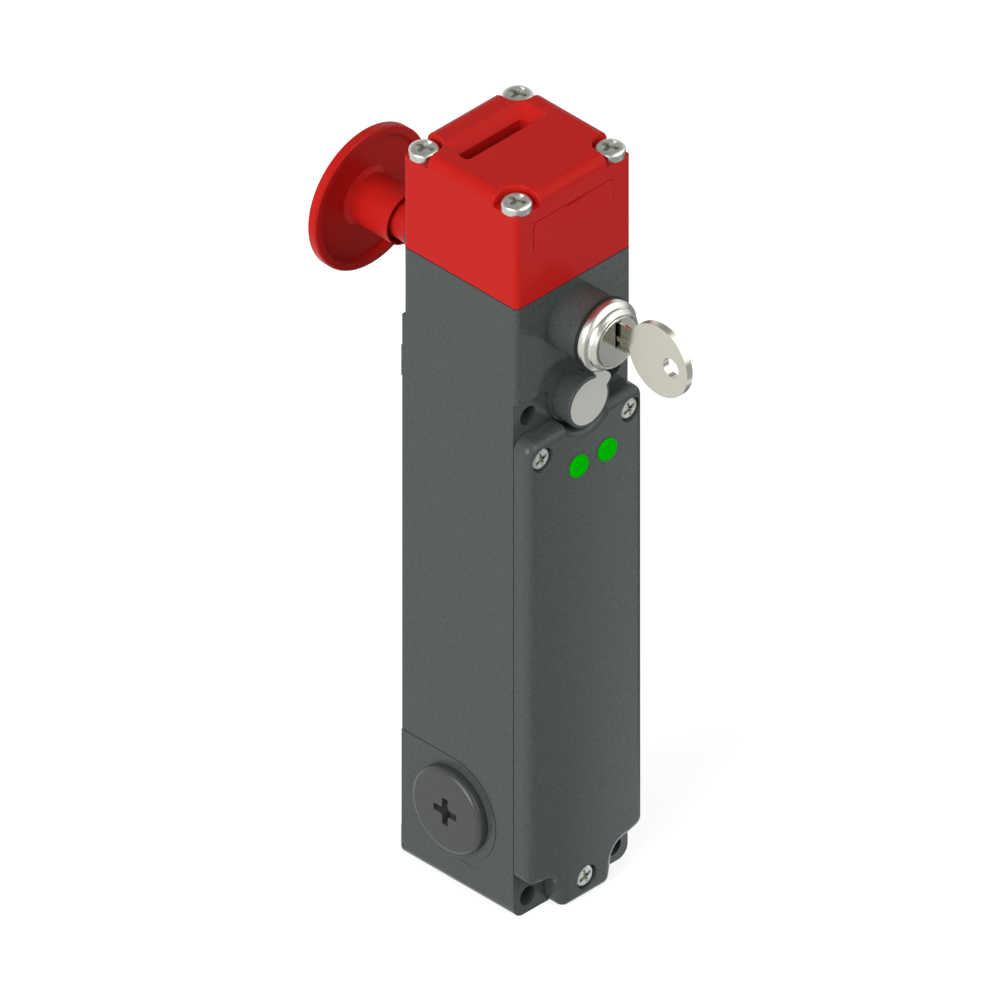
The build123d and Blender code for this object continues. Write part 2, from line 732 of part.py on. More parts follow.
# Steel shaft of the cam, and the blocks that close its open bearings
with BuildPart() as cam_shaft:
    with BuildSketch(facing_side(1, -bearing_reach + running_fit, cam_axis_y, cam_axis_z)):
        Circle(cam_shaft_r)
    extrude(amount=2 * (bearing_reach - running_fit))
keep(cam_shaft, "cam_shaft")

with BuildPart() as cam_bearings:
    for side in (-1, 1):
        bearing_x = side * (cam_room_x + cam_bearing_length / 2) - (cam_bearing_length / 2 - running_fit)
        with BuildSketch(facing_side(1, bearing_x, cam_axis_y, cam_axis_z)):
            with Locations((0, -(cam_axis_z - housing_top_z) / 2)):
                Rectangle(2 * cam_shaft_r, cam_axis_z - housing_top_z - 0.02)
            Circle(cam_shaft_r + fit, mode=Mode.SUBTRACT)
        extrude(amount=cam_bearing_length - 2 * running_fit)
keep(cam_bearings, "cam_bearings")


def cam_point(angle, radius):
    """Point of the cam's profile: y and z from its axis, the angle from +Y in degrees."""
    return (radius * math.cos(math.radians(angle)), radius * math.sin(math.radians(angle)))


# Cam: a drum with two pockets for the actuator, a notch for the locking rod and a track that falls
# evenly, so that the follower rises in step with the turn
with BuildPart() as actuating_cam:
    with BuildSketch(facing_side(1, -cam_width / 2, cam_axis_y, cam_axis_z)):
        Circle(cam_r)
        Circle(cam_shaft_r + fit, mode=Mode.SUBTRACT)
    extrude(amount=cam_width)
    pocket_width = slot_length + 1.0
    with BuildSketch(facing_side(1, -pocket_width / 2, cam_axis_y, cam_axis_z)):
        with Locations((slot_y, cam_r / 2 + 1.6)):
            Rectangle(slot_width + 1.6, cam_r)
        with Locations((-cam_r / 2 - 1.6, front_slot_z - cam_axis_z + 0.4)):
            Rectangle(cam_r, slot_width + 1.2)
    extrude(amount=pocket_width, mode=Mode.SUBTRACT)
    notch_angle = -90 + cam_swing
    with BuildSketch(facing_side(1, lock_line_x - lock_rod_r - 0.8, cam_axis_y, cam_axis_z)):
        with Locations(Location(cam_point(notch_angle, cam_r - lock_stroke / 2), notch_angle)):
            Rectangle(lock_stroke + 0.8, 2 * lock_rod_r + 1.2)
    extrude(amount=2 * lock_rod_r + 1.6, mode=Mode.SUBTRACT)
    with BuildSketch(facing_side(1, follower_x - follower_pin_r - 0.8, cam_axis_y, cam_axis_z)):
        lag_angle = -10
        with BuildLine():
            fall = [cam_point(-90 + cam_swing * t, cam_r - follower_lift * t) for t in (0, 0.25, 0.5, 0.75, 1)]
            Spline(*fall)
            Line(fall[-1], cam_point(lag_angle, cam_r - follower_lift))
            Line(cam_point(lag_angle, cam_r - follower_lift), cam_point(lag_angle, cam_r + 1))
            ThreePointArc(cam_point(lag_angle, cam_r + 1), cam_point(-60, cam_r + 1), cam_point(-90, cam_r + 1))
            Line(cam_point(-90, cam_r + 1), fall[0])
        make_face()
    extrude(amount=2 * follower_pin_r + 1.6, mode=Mode.SUBTRACT)
keep(actuating_cam, "actuating_cam")


def turned(points, plane):
    """Body turned about the z axis of a plane from (radius, height) points of its half section."""
    section = Plane(origin=plane.origin, x_dir=plane.x_dir, z_dir=plane.x_dir.cross(plane.z_dir))
    with BuildPart() as body:
        with BuildSketch(section):
            with BuildLine():
                Polyline(*points, close=True)
            make_face()
        revolve(axis=Axis(plane.origin, plane.z_dir))
    return body.part


lock_base = facing_front(lock_boss_front_y - lock_seal_thickness, z=lock_z)
barrel_length = lock_barrel_end_y - (lock_boss_front_y - lock_seal_thickness)

# Lock barrel with its stepped bezel
with BuildPart() as lock_body:
    bore = lock_plug_r + fit
    face_floor = lock_bezel_height + lock_plug_rise - lock_face_thickness - running_fit
    steps = [
        (bore, -barrel_length), (lock_barrel_r, -barrel_length), (lock_barrel_r, 0), (lock_bezel_r, 0),
        (lock_bezel_r, lock_bezel_height - 3.0), (lock_bezel_r - 0.7, lock_bezel_height - 2.3),
        (lock_bezel_r - 1.2, lock_bezel_height - 2.0), (lock_bezel_r - 1.35, lock_bezel_height - 1.2),
        (lock_bezel_r - 1.7, lock_bezel_height - 0.7), (lock_bezel_r - 2.1, lock_bezel_height - 0.3),
        (lock_bezel_r - 2.2, lock_bezel_height), (lock_face_r + running_fit, lock_bezel_height),
        (lock_face_r + running_fit, face_floor), (bore, face_floor),
    ]
    add(turned(steps, lock_base))
keep(lock_body, "lock_body")

with BuildPart() as lock_seal:
    with BuildSketch(facing_front(lock_boss_front_y, z=lock_z)):
        Circle(lock_seal_r)
        Circle(lock_barrel_r + fit, mode=Mode.SUBTRACT)
    extrude(amount=lock_seal_thickness)
    fillet(lock_seal.faces().sort_by(Axis.Y)[0].edges().sort_by(SortBy.RADIUS)[-1], lock_seal_thickness * 0.4)
keep(lock_seal, "lock_seal")

with BuildPart() as lock_nut:
    with BuildSketch(facing_front(-tower_half_y + lock_nut_thickness, z=lock_z)):
        RegularPolygon(lock_nut_flats / 2, 6, major_radius=False)
        Circle(lock_barrel_r + fit, mode=Mode.SUBTRACT)
    extrude(amount=lock_nut_thickness)
    chamfer(lock_nut.faces().sort_by(Axis.Y)[-1].outer_wire().edges(), 0.4)
keep(lock_nut, "lock_nut")

plug_front_y = lock_boss_front_y - lock_seal_thickness - lock_bezel_height - lock_plug_rise
plug_back_y = lock_barrel_end_y + 2.0
blade_z = lock_z + key_blade_rise

# Lock plug with its keyway
with BuildPart() as lock_plug:
    with BuildSketch(facing_front(plug_back_y, z=lock_z)):
        Circle(lock_plug_r)
    extrude(amount=plug_back_y - plug_front_y)
    with BuildSketch(facing_front(plug_front_y + lock_face_thickness, z=lock_z)):
        Circle(lock_face_r)
    extrude(amount=lock_face_thickness)
    chamfer(lock_plug.faces().sort_by(Axis.Y)[0].edges(), lock_plug_rise)
    with BuildSketch(facing_front(plug_front_y, z=blade_z)):
        Rectangle(key_blade_thickness + 2 * keyway_side_play, key_blade_height + 2 * keyway_end_play)
    extrude(amount=-key_depth, mode=Mode.SUBTRACT)
keep(lock_plug, "lock_plug")

# Cam plate on the inner end of the plug, with the pin that works the yoke
with BuildPart() as lock_cam:
    with BuildSketch(facing_front(plug_back_y + lock_cam_thickness, z=lock_z)):
        Circle(lock_plug_r + 0.6)
    extrude(amount=lock_cam_thickness)
    with BuildSketch(facing_front(plug_back_y + lock_cam_thickness, z=lock_z + lock_cam_offset)):
        Circle(cam_pin_r)
    extrude(amount=-2.2)
keep(lock_cam, "lock_cam")

# Key: blade with cuts in its upper edge and milled sides, and a round bow
with BuildPart() as key:
    bow_z = lock_z + key_bow_rise
    blade_end_y = plug_front_y + key_depth - seat_gap
    blade_top_z = blade_z + key_blade_height / 2
    blade_length = blade_end_y - key_bow_y
    blade_middle_y = (key_bow_y + blade_end_y) / 2
    with BuildSketch(facing_side(1, -key_blade_thickness / 2)):
        with Locations((blade_middle_y, blade_z)):
            Rectangle(blade_length, key_blade_height)
        for step, depth in enumerate((1.4, 2.2, 1.0, 1.8)):
            with Locations((blade_end_y - 2.8 - 2.9 * step, blade_top_z)):
                RegularPolygon(depth, 4, mode=Mode.SUBTRACT)
    extrude(amount=key_blade_thickness)
    with BuildSketch(facing_side(-1, -key_blade_thickness / 2)):
        with Locations((-blade_middle_y, blade_top_z - key_rebate_height / 2)):
            Rectangle(blade_length, key_rebate_height)
    extrude(amount=-key_rebate_depth, mode=Mode.SUBTRACT)
    rib_bottom_z = blade_top_z - key_rebate_height - key_rib_height
    for side, groove_z in ((-1, rib_bottom_z - key_groove_height / 2), (1, rib_bottom_z + key_rib_height / 2)):
        with BuildSketch(facing_side(side, side * key_blade_thickness / 2)):
            with Locations((side * blade_middle_y, groove_z)):
                Rectangle(blade_length, key_groove_height if side < 0 else key_rib_height)
        extrude(amount=-key_groove_depth, mode=Mode.SUBTRACT)
    with BuildSketch(facing_side(1, -key_thickness / 2)):
        with Locations((key_bow_y, bow_z)):
            Circle(key_bow_r)
        with Locations((key_bow_y - key_hole_reach, bow_z)):
            Circle(key_hole_r, mode=Mode.SUBTRACT)
    extrude(amount=key_thickness)
keep(key, "key")

# Tool release: spindle with a slotted head, under a cap with a pull tab
spindle_head_front_y = release_boss_front_y + release_cap_thickness + seat_gap
spindle_back_y = -7.4
spindle_wall_y = -neck_half_y
with BuildPart() as release_spindle:
    with BuildSketch(facing_front(spindle_back_y, z=release_z)):
        Circle(release_spindle_r)
    extrude(amount=spindle_back_y - spindle_head_front_y)
    with BuildSketch(facing_front(spindle_head_front_y + release_head_height, z=release_z)):
        Circle(release_head_r)
    extrude(amount=release_head_height)
    with BuildSketch(facing_front(spindle_head_front_y, z=release_z)):
        Rectangle(2 * release_head_r + 1, 1.2)
    extrude(amount=-0.9, mode=Mode.SUBTRACT)
    with BuildSketch(facing_front(-17.0, z=release_z)):
        Circle(release_spindle_r + 1)
        Circle(release_spindle_r - 0.7, mode=Mode.SUBTRACT)
    extrude(amount=1.2, mode=Mode.SUBTRACT)
    with BuildSketch(facing_front(spindle_wall_y + 0.9, z=release_z)):
        Circle(release_spindle_r + 1)
        Circle(release_clip_r, mode=Mode.SUBTRACT)
    extrude(amount=0.8, mode=Mode.SUBTRACT)
    with BuildSketch(facing_front(spindle_back_y, z=release_z + release_offset)):
        Circle(cam_pin_r)
    extrude(amount=spindle_back_y - yoke_back_y + 0.2)
keep(release_spindle, "release_spindle")

# Snap ring that holds the spindle behind the front wall
with BuildPart() as release_clip:
    with BuildSketch(facing_front(spindle_wall_y + 0.9, z=release_z)):
        Circle(release_spindle_r + 1.8)
        Circle(release_clip_r + fit, mode=Mode.SUBTRACT)
        with Locations((0, -release_spindle_r)):
            Rectangle(2 * release_clip_r, 2 * release_spindle_r, mode=Mode.SUBTRACT)
    extrude(amount=0.8)
keep(release_clip, "release_clip")

with BuildPart() as release_seal:
    with BuildSketch(facing_front(-17.0, z=release_z)):
        Circle(release_spindle_r + fit)
        Circle(release_spindle_r - 0.7, mode=Mode.SUBTRACT)
    extrude(amount=1.2)
keep(release_seal, "release_seal")

with BuildPart() as release_cap:
    with BuildSketch(facing_front(release_boss_front_y + release_cap_thickness, z=release_z)):
        Circle(release_cap_r)
        with Locations(Location((0, 0), 45)):
            Rectangle(release_tab_reach, release_tab_width, align=(Align.MIN, Align.CENTER))
    extrude(amount=release_cap_thickness)
    tab_corners = release_cap.edges().filter_by(Axis.Y).sort_by(lambda e: e.center().X + e.center().Z)[-2:]
    fillet(tab_corners, 1.6)
keep(release_cap, "release_cap")

# Escape release: sleeve in the back wall, red push button with its stem, and the inner rod
with BuildPart() as escape_sleeve:
    with BuildSketch(facing_back(tower_half_y, z=escape_z)):
        Circle(escape_sleeve_r)
        Circle(escape_rod_r + running_fit, mode=Mode.SUBTRACT)
    extrude(amount=escape_sleeve_end_y - tower_half_y)
    chamfer(escape_sleeve.faces().sort_by(Axis.Y)[-1].outer_wire().edges(), 0.3)
keep(escape_sleeve, "escape_sleeve")

escape_base = facing_back(escape_hub_y, z=escape_z)
with BuildPart() as escape_button:
    rim = escape_disc_front_y - escape_hub_y
    rim_back = escape_disc_back_y - escape_hub_y
    floor = rim + escape_dish_depth
    recess = escape_travel + 1.5
    dish_r = escape_disc_r - escape_dish_rim
    hub_inner_r = escape_hub_r - escape_hub_wall
    section = [
        (escape_rod_r + fit, recess), (hub_inner_r, recess), (hub_inner_r, 0),
        (escape_hub_r, 0), (escape_hub_r, floor - 1.2), (escape_hub_r + 1.2, floor), (dish_r - 0.5, floor),
        (dish_r, rim), (escape_disc_r - 0.4, rim), (escape_disc_r, rim + 0.4), (escape_disc_r, rim_back - 0.5),
        (escape_disc_r - 0.8, rim_back), (escape_disc_r * 0.6, rim_back + 1.1), (0, rim_back + 1.7),
        (0, floor + 0.4), (escape_rod_r + fit, floor + 0.4),
    ]
    add(turned(section, escape_base))
keep(escape_button, "escape_button")

with BuildPart() as escape_rod:
    rod_length = escape_disc_front_y + escape_dish_depth + 0.4 - tower_half_y - 2.0
    with BuildSketch(facing_back(tower_half_y + 2.0, z=escape_z)):
        Circle(escape_rod_r)
    extrude(amount=rod_length)
    with BuildSketch(facing_back(escape_tip_y, z=escape_z)):
        Circle(escape_tip_r)
    extrude(amount=tower_half_y + 2.0 - escape_tip_y)
    chamfer(escape_rod.faces().sort_by(Axis.Y)[0].edges(), 0.8)
    with BuildSketch(facing_back(tower_half_y - 1.4, z=escape_z)):
        Circle(escape_tip_r + 1)
        Circle(escape_tip_r - 0.5, mode=Mode.SUBTRACT)
    extrude(amount=1.0, mode=Mode.SUBTRACT)
keep(escape_rod, "escape_rod")

# Snap ring that keeps the rod from being pulled out of the sleeve
with BuildPart() as escape_clip:
    with BuildSketch(facing_back(tower_half_y - 1.4, z=escape_z)):
        Circle(escape_sleeve_r - 0.3)
        Circle(escape_tip_r - 0.5 + fit, mode=Mode.SUBTRACT)
        with Locations((0, -escape_sleeve_r / 2)):
            Rectangle(2 * (escape_tip_r - 0.5), escape_sleeve_r, mode=Mode.SUBTRACT)
    extrude(amount=1.0)
keep(escape_clip, "escape_clip")

# Blanking plugs in the side entries, with their flat seals
for side, spot in ((-1, "left"), (1, "right")):
    pad_x = side * (half_width + conduit_pad_height)
    with BuildPart() as plug_gasket:
        with BuildSketch(facing_side(side, pad_x, conduit_axis_y, conduit_axis_z)):
            Circle(plug_head_r - 0.4)
            Circle(conduit_r, mode=Mode.SUBTRACT)
        extrude(amount=plug_gasket_thickness)
    keep(plug_gasket, f"plug_gasket_{spot}")
    plug_seat = facing_side(side, pad_x + side * plug_gasket_thickness, conduit_axis_y, conduit_axis_z)
    with BuildPart() as conduit_plug:
        with BuildSketch(plug_seat):
            Circle(plug_head_r)
        extrude(amount=plug_head_height)
        outward = Axis(plug_seat.origin, plug_seat.z_dir)
        fillet(conduit_plug.faces().sort_by(outward)[-1].edges(), plug_head_height * 0.6)
        with BuildSketch(plug_seat):
            Circle(conduit_r - fit)
        extrude(amount=-plug_shank_length)
        with BuildSketch(plug_seat.offset(plug_head_height)) as cross:
            Rectangle(plug_cross_length, plug_cross_width)
            Rectangle(plug_cross_width, plug_cross_length)
            inner = [v for v in cross.vertices() if max(abs(v.X), abs(v.Y)) < plug_cross_width]
            fillet(inner, plug_cross_corner_r)
        extrude(amount=-plug_head_height, taper=8, mode=Mode.SUBTRACT)
    keep(conduit_plug, f"conduit_plug_{spot}")

# Solenoid: bent frame, bobbin with its winding, fixed pole and moving armature
lock_line = (lock_line_x, lock_line_y)
with BuildPart() as solenoid_frame:
    with BuildSketch(facing_side(1, lock_line_x - solenoid_width / 2)):
        with Locations((0, solenoid_bottom_z + solenoid_height / 2)):
            Rectangle(solenoid_depth, solenoid_height)
        with Locations((-solenoid_plate, solenoid_bottom_z + solenoid_height / 2)):
            Rectangle(solenoid_depth, solenoid_height - 2 * solenoid_plate, mode=Mode.SUBTRACT)
    extrude(amount=solenoid_width)
    with BuildSketch(level(solenoid_bottom_z, *lock_line)):
        Circle(armature_r - 1.0)
    extrude(amount=solenoid_plate, mode=Mode.SUBTRACT)
    with BuildSketch(level(solenoid_top_z, *lock_line)):
        Circle(armature_r + running_fit)
    extrude(amount=-solenoid_plate, mode=Mode.SUBTRACT)
    with BuildSketch(facing_front(solenoid_depth / 2)):
        with Locations(solenoid_screw_places):
            Circle(small_screw_r + fit)
    extrude(amount=solenoid_plate, mode=Mode.SUBTRACT)
keep(solenoid_frame, "solenoid_frame")

with BuildPart() as solenoid_bobbin:
    bobbin_bottom_z = solenoid_bottom_z + solenoid_plate + running_fit
    bobbin_height = solenoid_height - 2 * (solenoid_plate + running_fit)
    with BuildSketch(level(bobbin_bottom_z, *lock_line)):
        Circle(bobbin_tube_r)
    extrude(amount=bobbin_height)
    for flange_z in (bobbin_bottom_z, bobbin_bottom_z + bobbin_height - bobbin_flange):
        with BuildSketch(level(flange_z, *lock_line)):
            Circle(bobbin_flange_r)
        extrude(amount=bobbin_flange)
    with BuildSketch(level(bobbin_bottom_z, *lock_line)):
        Circle(armature_r + running_fit)
    extrude(amount=bobbin_height, mode=Mode.SUBTRACT)
keep(solenoid_bobbin, "solenoid_bobbin")

with BuildPart() as solenoid_coil:
    with BuildSketch(level(bobbin_bottom_z + bobbin_flange + fit, *lock_line)):
        Circle(coil_r)
        Circle(bobbin_tube_r + fit, mode=Mode.SUBTRACT)
    extrude(amount=bobbin_height - 2 * (bobbin_flange + fit))
keep(solenoid_coil, "solenoid_coil")

with BuildPart() as pole_piece:
    with BuildSketch(level(solenoid_bottom_z + solenoid_plate, *lock_line)):
        Circle(armature_r)
    extrude(amount=pole_height)
    with BuildSketch(level(solenoid_bottom_z - 0.4, *lock_line)):
        Circle(armature_r - 1.0 - fit)
    extrude(amount=solenoid_plate + 0.4)
keep(pole_piece, "pole_piece")

armature_bottom_z = solenoid_bottom_z + solenoid_plate + pole_height + lock_stroke + seat_gap
armature_top_z = solenoid_top_z - 2.5
with BuildPart() as armature:
    with BuildSketch(level(armature_bottom_z, *lock_line)):
        Circle(armature_r)
    extrude(amount=armature_top_z - armature_bottom_z)
    chamfer(armature.faces().sort_by(Axis.Z)[-1].edges(), 0.5)
keep(armature, "armature")

rod_top_z = cam_axis_z - cam_r - seat_gap
with BuildPart() as locking_rod:
    with BuildSketch(level(armature_top_z, *lock_line)):
        Circle(lock_rod_r)
    extrude(amount=rod_top_z - armature_top_z)
    chamfer(locking_rod.faces().sort_by(Axis.Z)[-1].edges(), 0.4)
keep(locking_rod, "locking_rod")

pan_screws("solenoid_screws", facing_front(solenoid_depth / 2 - solenoid_plate), solenoid_screw_places,
           small_screw_head_r, small_screw_head_height, small_screw_r, solenoid_plate + small_screw_grip)

# Yoke clamped on the locking rod: its window takes the pin of the tool release, its top edge meets
# the pin of the lock, and its ramp meets the tip of the escape rod
with BuildPart() as release_yoke:
    with BuildSketch(facing_front(yoke_back_y)):
        with Locations(((yoke_left_x + yoke_right_x) / 2, (yoke_bottom_z + yoke_top_z) / 2)):
            Rectangle(yoke_right_x - yoke_left_x, yoke_top_z - yoke_bottom_z)
        window_bottom = release_z - release_offset - cam_pin_r - seat_gap
        window_top = release_z + release_offset + cam_pin_r + lock_stroke + seat_gap
        with Locations((0, (window_bottom + window_top) / 2)):
            Rectangle(2 * (release_offset + cam_pin_r + 0.5), window_top - window_bottom, mode=Mode.SUBTRACT)
    extrude(amount=yoke_back_y - yoke_front_y)
    for hub_z in (yoke_bottom_z, yoke_top_z - 1.6 - yoke_hub_height):
        with BuildSketch(level(hub_z)):
            with Locations(lock_line):
                Circle(yoke_hub_r)
            with Locations((lock_line_x, (lock_line_y + yoke_front_y) / 2)):
                Rectangle(2 * yoke_hub_r * 0.9, lock_line_y - yoke_front_y)
        extrude(amount=yoke_hub_height)
    ramp_z = yoke_top_z - 1.6 - yoke_hub_height
    with BuildSketch(facing_side(1, lock_line_x + 1.0)):
        with BuildLine():
            Polyline((lock_rod_r + 0.6, ramp_z), (yoke_hub_r + 4.6, ramp_z), (yoke_hub_r + 4.6, ramp_z + 0.8),
                     (lock_rod_r + 1.6, yoke_top_z + 0.8), (lock_rod_r + 0.6, yoke_top_z + 0.8), close=True)
        make_face()
    extrude(amount=3.0)
    with BuildSketch(level(yoke_bottom_z - 1)):
        with Locations(lock_line):
            Circle(lock_rod_r + fit)
    extrude(amount=yoke_top_z - yoke_bottom_z + 2, mode=Mode.SUBTRACT)
keep(release_yoke, "release_yoke")

# Spring round the locking rod, between the solenoid and the yoke
coil_spring("lock_spring", level(solenoid_top_z, *lock_line), armature_r + 0.9, spring_wire_r,
            lock_spring_length, 5.5)

# Follower: a pin under the cam's track, a cross bar and a leg that carries the contact bridge
follower_gap = 0.5
with BuildPart() as follower:
    pin_top_z = cam_axis_z - cam_r - follower_gap
    with BuildSketch(level(follower_bar_z, follower_x, follower_y)):
        Circle(follower_pin_r)
    extrude(amount=pin_top_z - follower_bar_z)
    fillet(follower.faces().sort_by(Axis.Z)[-1].edges(), follower_pin_r * 0.9)
    bar_left_x = follower_x - follower_pin_r
    leg_right_x = follower_leg_x + follower_leg_width / 2
    with BuildSketch(facing_front(follower_y + follower_leg_width / 2)):
        with Locations(((bar_left_x + leg_right_x) / 2, follower_bar_z - follower_bar_height / 2)):
            Rectangle(leg_right_x - bar_left_x, follower_bar_height)
        with Locations((follower_leg_x, (follower_bar_z + leg_bottom_z) / 2)):
            Rectangle(follower_leg_width, follower_bar_z - leg_bottom_z)
        with Locations((follower_leg_x, bridge_z + bridge_thickness / 2)):
            Rectangle(bridge_width + 2 * fit, bridge_thickness, mode=Mode.SUBTRACT)
    extrude(amount=follower_leg_width)
keep(follower, "follower")

with BuildPart() as contact_bridge:
    with BuildSketch(level(bridge_z)):
        with Locations((follower_leg_x, follower_y)):
            Rectangle(bridge_width, 2 * bridge_reach)
    extrude(amount=bridge_thickness)
    with BuildSketch(level(bridge_z + bridge_thickness)):
        with Locations([(follower_leg_x, follower_y + side * (bridge_reach - 1.2)) for side in (-1, 1)]):
            Circle(contact_r)
    extrude(amount=contact_height)
keep(contact_bridge, "contact_bridge")

# Contact block: a well for the leg, a chamber for the bridge, and seats for the terminals
chamber_bottom_z = bridge_z - 3.0
chamber_top_z = bridge_z + bridge_thickness + contact_height + follower_lift + seat_gap
with BuildPart() as contact_block:
    with BuildSketch(level(block_bottom_z)):
        Rectangle(block_width, block_depth)
    extrude(amount=block_height)
    well = follower_leg_width + 2 * leg_play
    with BuildSketch(level(well_bottom_z)):
        with Locations((follower_leg_x, follower_y)):
            Rectangle(well, well)
    extrude(amount=block_top_z - well_bottom_z, mode=Mode.SUBTRACT)
    with BuildSketch(level(chamber_bottom_z)):
        with Locations((follower_leg_x, follower_y)):
            Rectangle(well, 2 * bridge_reach + 1.0)
    extrude(amount=chamber_top_z - chamber_bottom_z + fixed_contact_thickness, mode=Mode.SUBTRACT)
    with BuildSketch(facing_front(-block_depth / 2)):
        with Locations(block_screw_places):
            Circle(small_screw_r + fit)
    extrude(amount=-block_depth, mode=Mode.SUBTRACT)
    with BuildSketch(facing_front(-block_depth / 2)):
        with Locations(terminal_places):
            Circle(terminal_screw_r * 0.6 + fit)
    extrude(amount=-terminal_screw_length - 0.4, mode=Mode.SUBTRACT)
keep(contact_block, "contact_block")

with BuildPart() as fixed_contacts:
    for side in (-1, 1):
        contact_y = follower_y + side * (bridge_reach - 1.2)
        with BuildSketch(level(chamber_top_z)):
            with Locations((follower_leg_x, contact_y)):
                Rectangle(well - 2 * fit, 3.2)
        extrude(amount=fixed_contact_thickness)
keep(fixed_contacts, "fixed_contacts")

coil_spring("follower_spring", level(well_bottom_z, follower_leg_x, follower_y), 1.3, 0.25,
            leg_bottom_z - well_bottom_z, 5.5)
pan_screws("terminal_screws", facing_front(-block_depth / 2), terminal_places, terminal_screw_r,
           terminal_head_height, terminal_screw_r * 0.6, terminal_screw_length)
pan_screws("block_screws", facing_front(-block_depth / 2), block_screw_places, small_screw_head_r,
           small_screw_head_height, small_screw_r, block_depth + small_screw_grip)
pan_screws("earth_screw", facing_front(earth_boss_y), [(0, earth_screw_z)], earth_screw_head_r,
           earth_screw_head_height, earth_screw_r, earth_screw_length)
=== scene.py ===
"""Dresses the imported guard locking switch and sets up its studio.

Each sub-assembly is a class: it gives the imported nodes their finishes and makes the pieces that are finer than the
plain nodes, such as the screws with their recesses, the lock's stepped bezel, the bevelled key, the thread of the
cable entry and the turns of the solenoid's winding. The frame's own axes hold everywhere: +Z up, the cover and the
key towards -Y, the escape button towards +Y. Sizes are in millimetres up to the point where a mesh is made.
"""

import logging
import math
from dataclasses import dataclass, field
from enum import Enum
from typing import ClassVar

import bmesh
import bpy
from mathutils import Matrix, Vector

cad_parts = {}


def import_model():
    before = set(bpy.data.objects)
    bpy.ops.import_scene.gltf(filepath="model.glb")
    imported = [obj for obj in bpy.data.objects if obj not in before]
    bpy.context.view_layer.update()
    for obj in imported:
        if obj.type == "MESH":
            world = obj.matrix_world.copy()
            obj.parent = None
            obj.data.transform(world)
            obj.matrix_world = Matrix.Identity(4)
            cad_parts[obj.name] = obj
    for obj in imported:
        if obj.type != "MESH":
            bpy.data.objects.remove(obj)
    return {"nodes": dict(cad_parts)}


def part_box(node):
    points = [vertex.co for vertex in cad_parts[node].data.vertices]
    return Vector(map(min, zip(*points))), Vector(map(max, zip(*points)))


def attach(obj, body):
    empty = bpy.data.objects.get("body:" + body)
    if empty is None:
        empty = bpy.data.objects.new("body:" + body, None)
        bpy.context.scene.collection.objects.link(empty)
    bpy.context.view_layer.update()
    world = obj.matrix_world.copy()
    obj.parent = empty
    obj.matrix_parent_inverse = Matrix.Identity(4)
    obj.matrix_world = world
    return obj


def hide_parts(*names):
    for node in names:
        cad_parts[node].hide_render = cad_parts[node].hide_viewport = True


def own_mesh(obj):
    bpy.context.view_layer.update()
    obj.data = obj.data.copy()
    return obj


log = logging.getLogger("guard_locking_switch")

MM = 0.001
SHELL = "switch_body"
# Rings that the wave texture draws on one unit at scale 1
RINGS_PER_UNIT = 20 / math.tau
# Wander of the turning lines, so that they don't look ruled
RING_WANDER = 1.2
# Rolling draws the grain out along Y
ROLLED_SCALE = (1.0, 0.12, 1.0)
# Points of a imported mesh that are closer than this, in metres, are one point
MERGE = 1e-6
# Faces within this angle are one flat face
FLAT = math.radians(1)
# Edges above this angle get broken
SHARP = math.radians(50)
# Angle in degrees above which an edge isn't smoothed over
CREASE = 28.0


def linear(code: str) -> tuple[float, float, float, float]:
    """Turns an sRGB hex colour into linear light.

    Args:
        code: Six hex digits, such as "c8302c".

    Returns:
        Red, green, blue and alpha.
    """
    parts = [int(code[i : i + 2], 16) / 255 for i in (0, 2, 4)]
    light = [c / 12.92 if c <= 0.04045 else ((c + 0.055) / 1.055) ** 2.4 for c in parts]
    return (*light, 1.0)


def add_node(tree: bpy.types.NodeTree, kind: str, inputs: dict | None = None, **settings) -> bpy.types.Node:
    """Adds a node, sets its properties, and fills or links its inputs.

    Args:
        tree: The node tree that gets the node.
        kind: Blender's name of the node type.
        inputs: Input name or number to a value, to the socket that feeds it, or to a list of such sockets.
        **settings: Properties of the node.

    Returns:
        The new node.
    """
    made = tree.nodes.new(kind)
    for name, value in settings.items():
        setattr(made, name, value)
    for name, value in (inputs or {}).items():
        for feed in value if isinstance(value, list) else [value]:
            if isinstance(feed, bpy.types.NodeSocket):
                tree.links.new(feed, made.inputs[name])
            else:
                made.inputs[name].default_value = feed
    return made


class Surface(Enum):
    """How a surface was made, which sets its fine pattern."""

    SPRAYED = "sprayed"
    MOULDED = "moulded"
    TURNED = "turned"
    ROLLED = "rolled"


class Axis(Enum):
    """Way that a turned piece or a screw looks, with its two side directions."""

    UP = ((0, 0, 1), (1, 0, 0), (0, 1, 0))
    FRONT = ((0, -1, 0), (1, 0, 0), (0, 0, 1))

    @property
    def way(self) -> Vector:
        """The direction itself.

        Returns:
            A vector of length one.
        """
        return Vector(self.value[0])


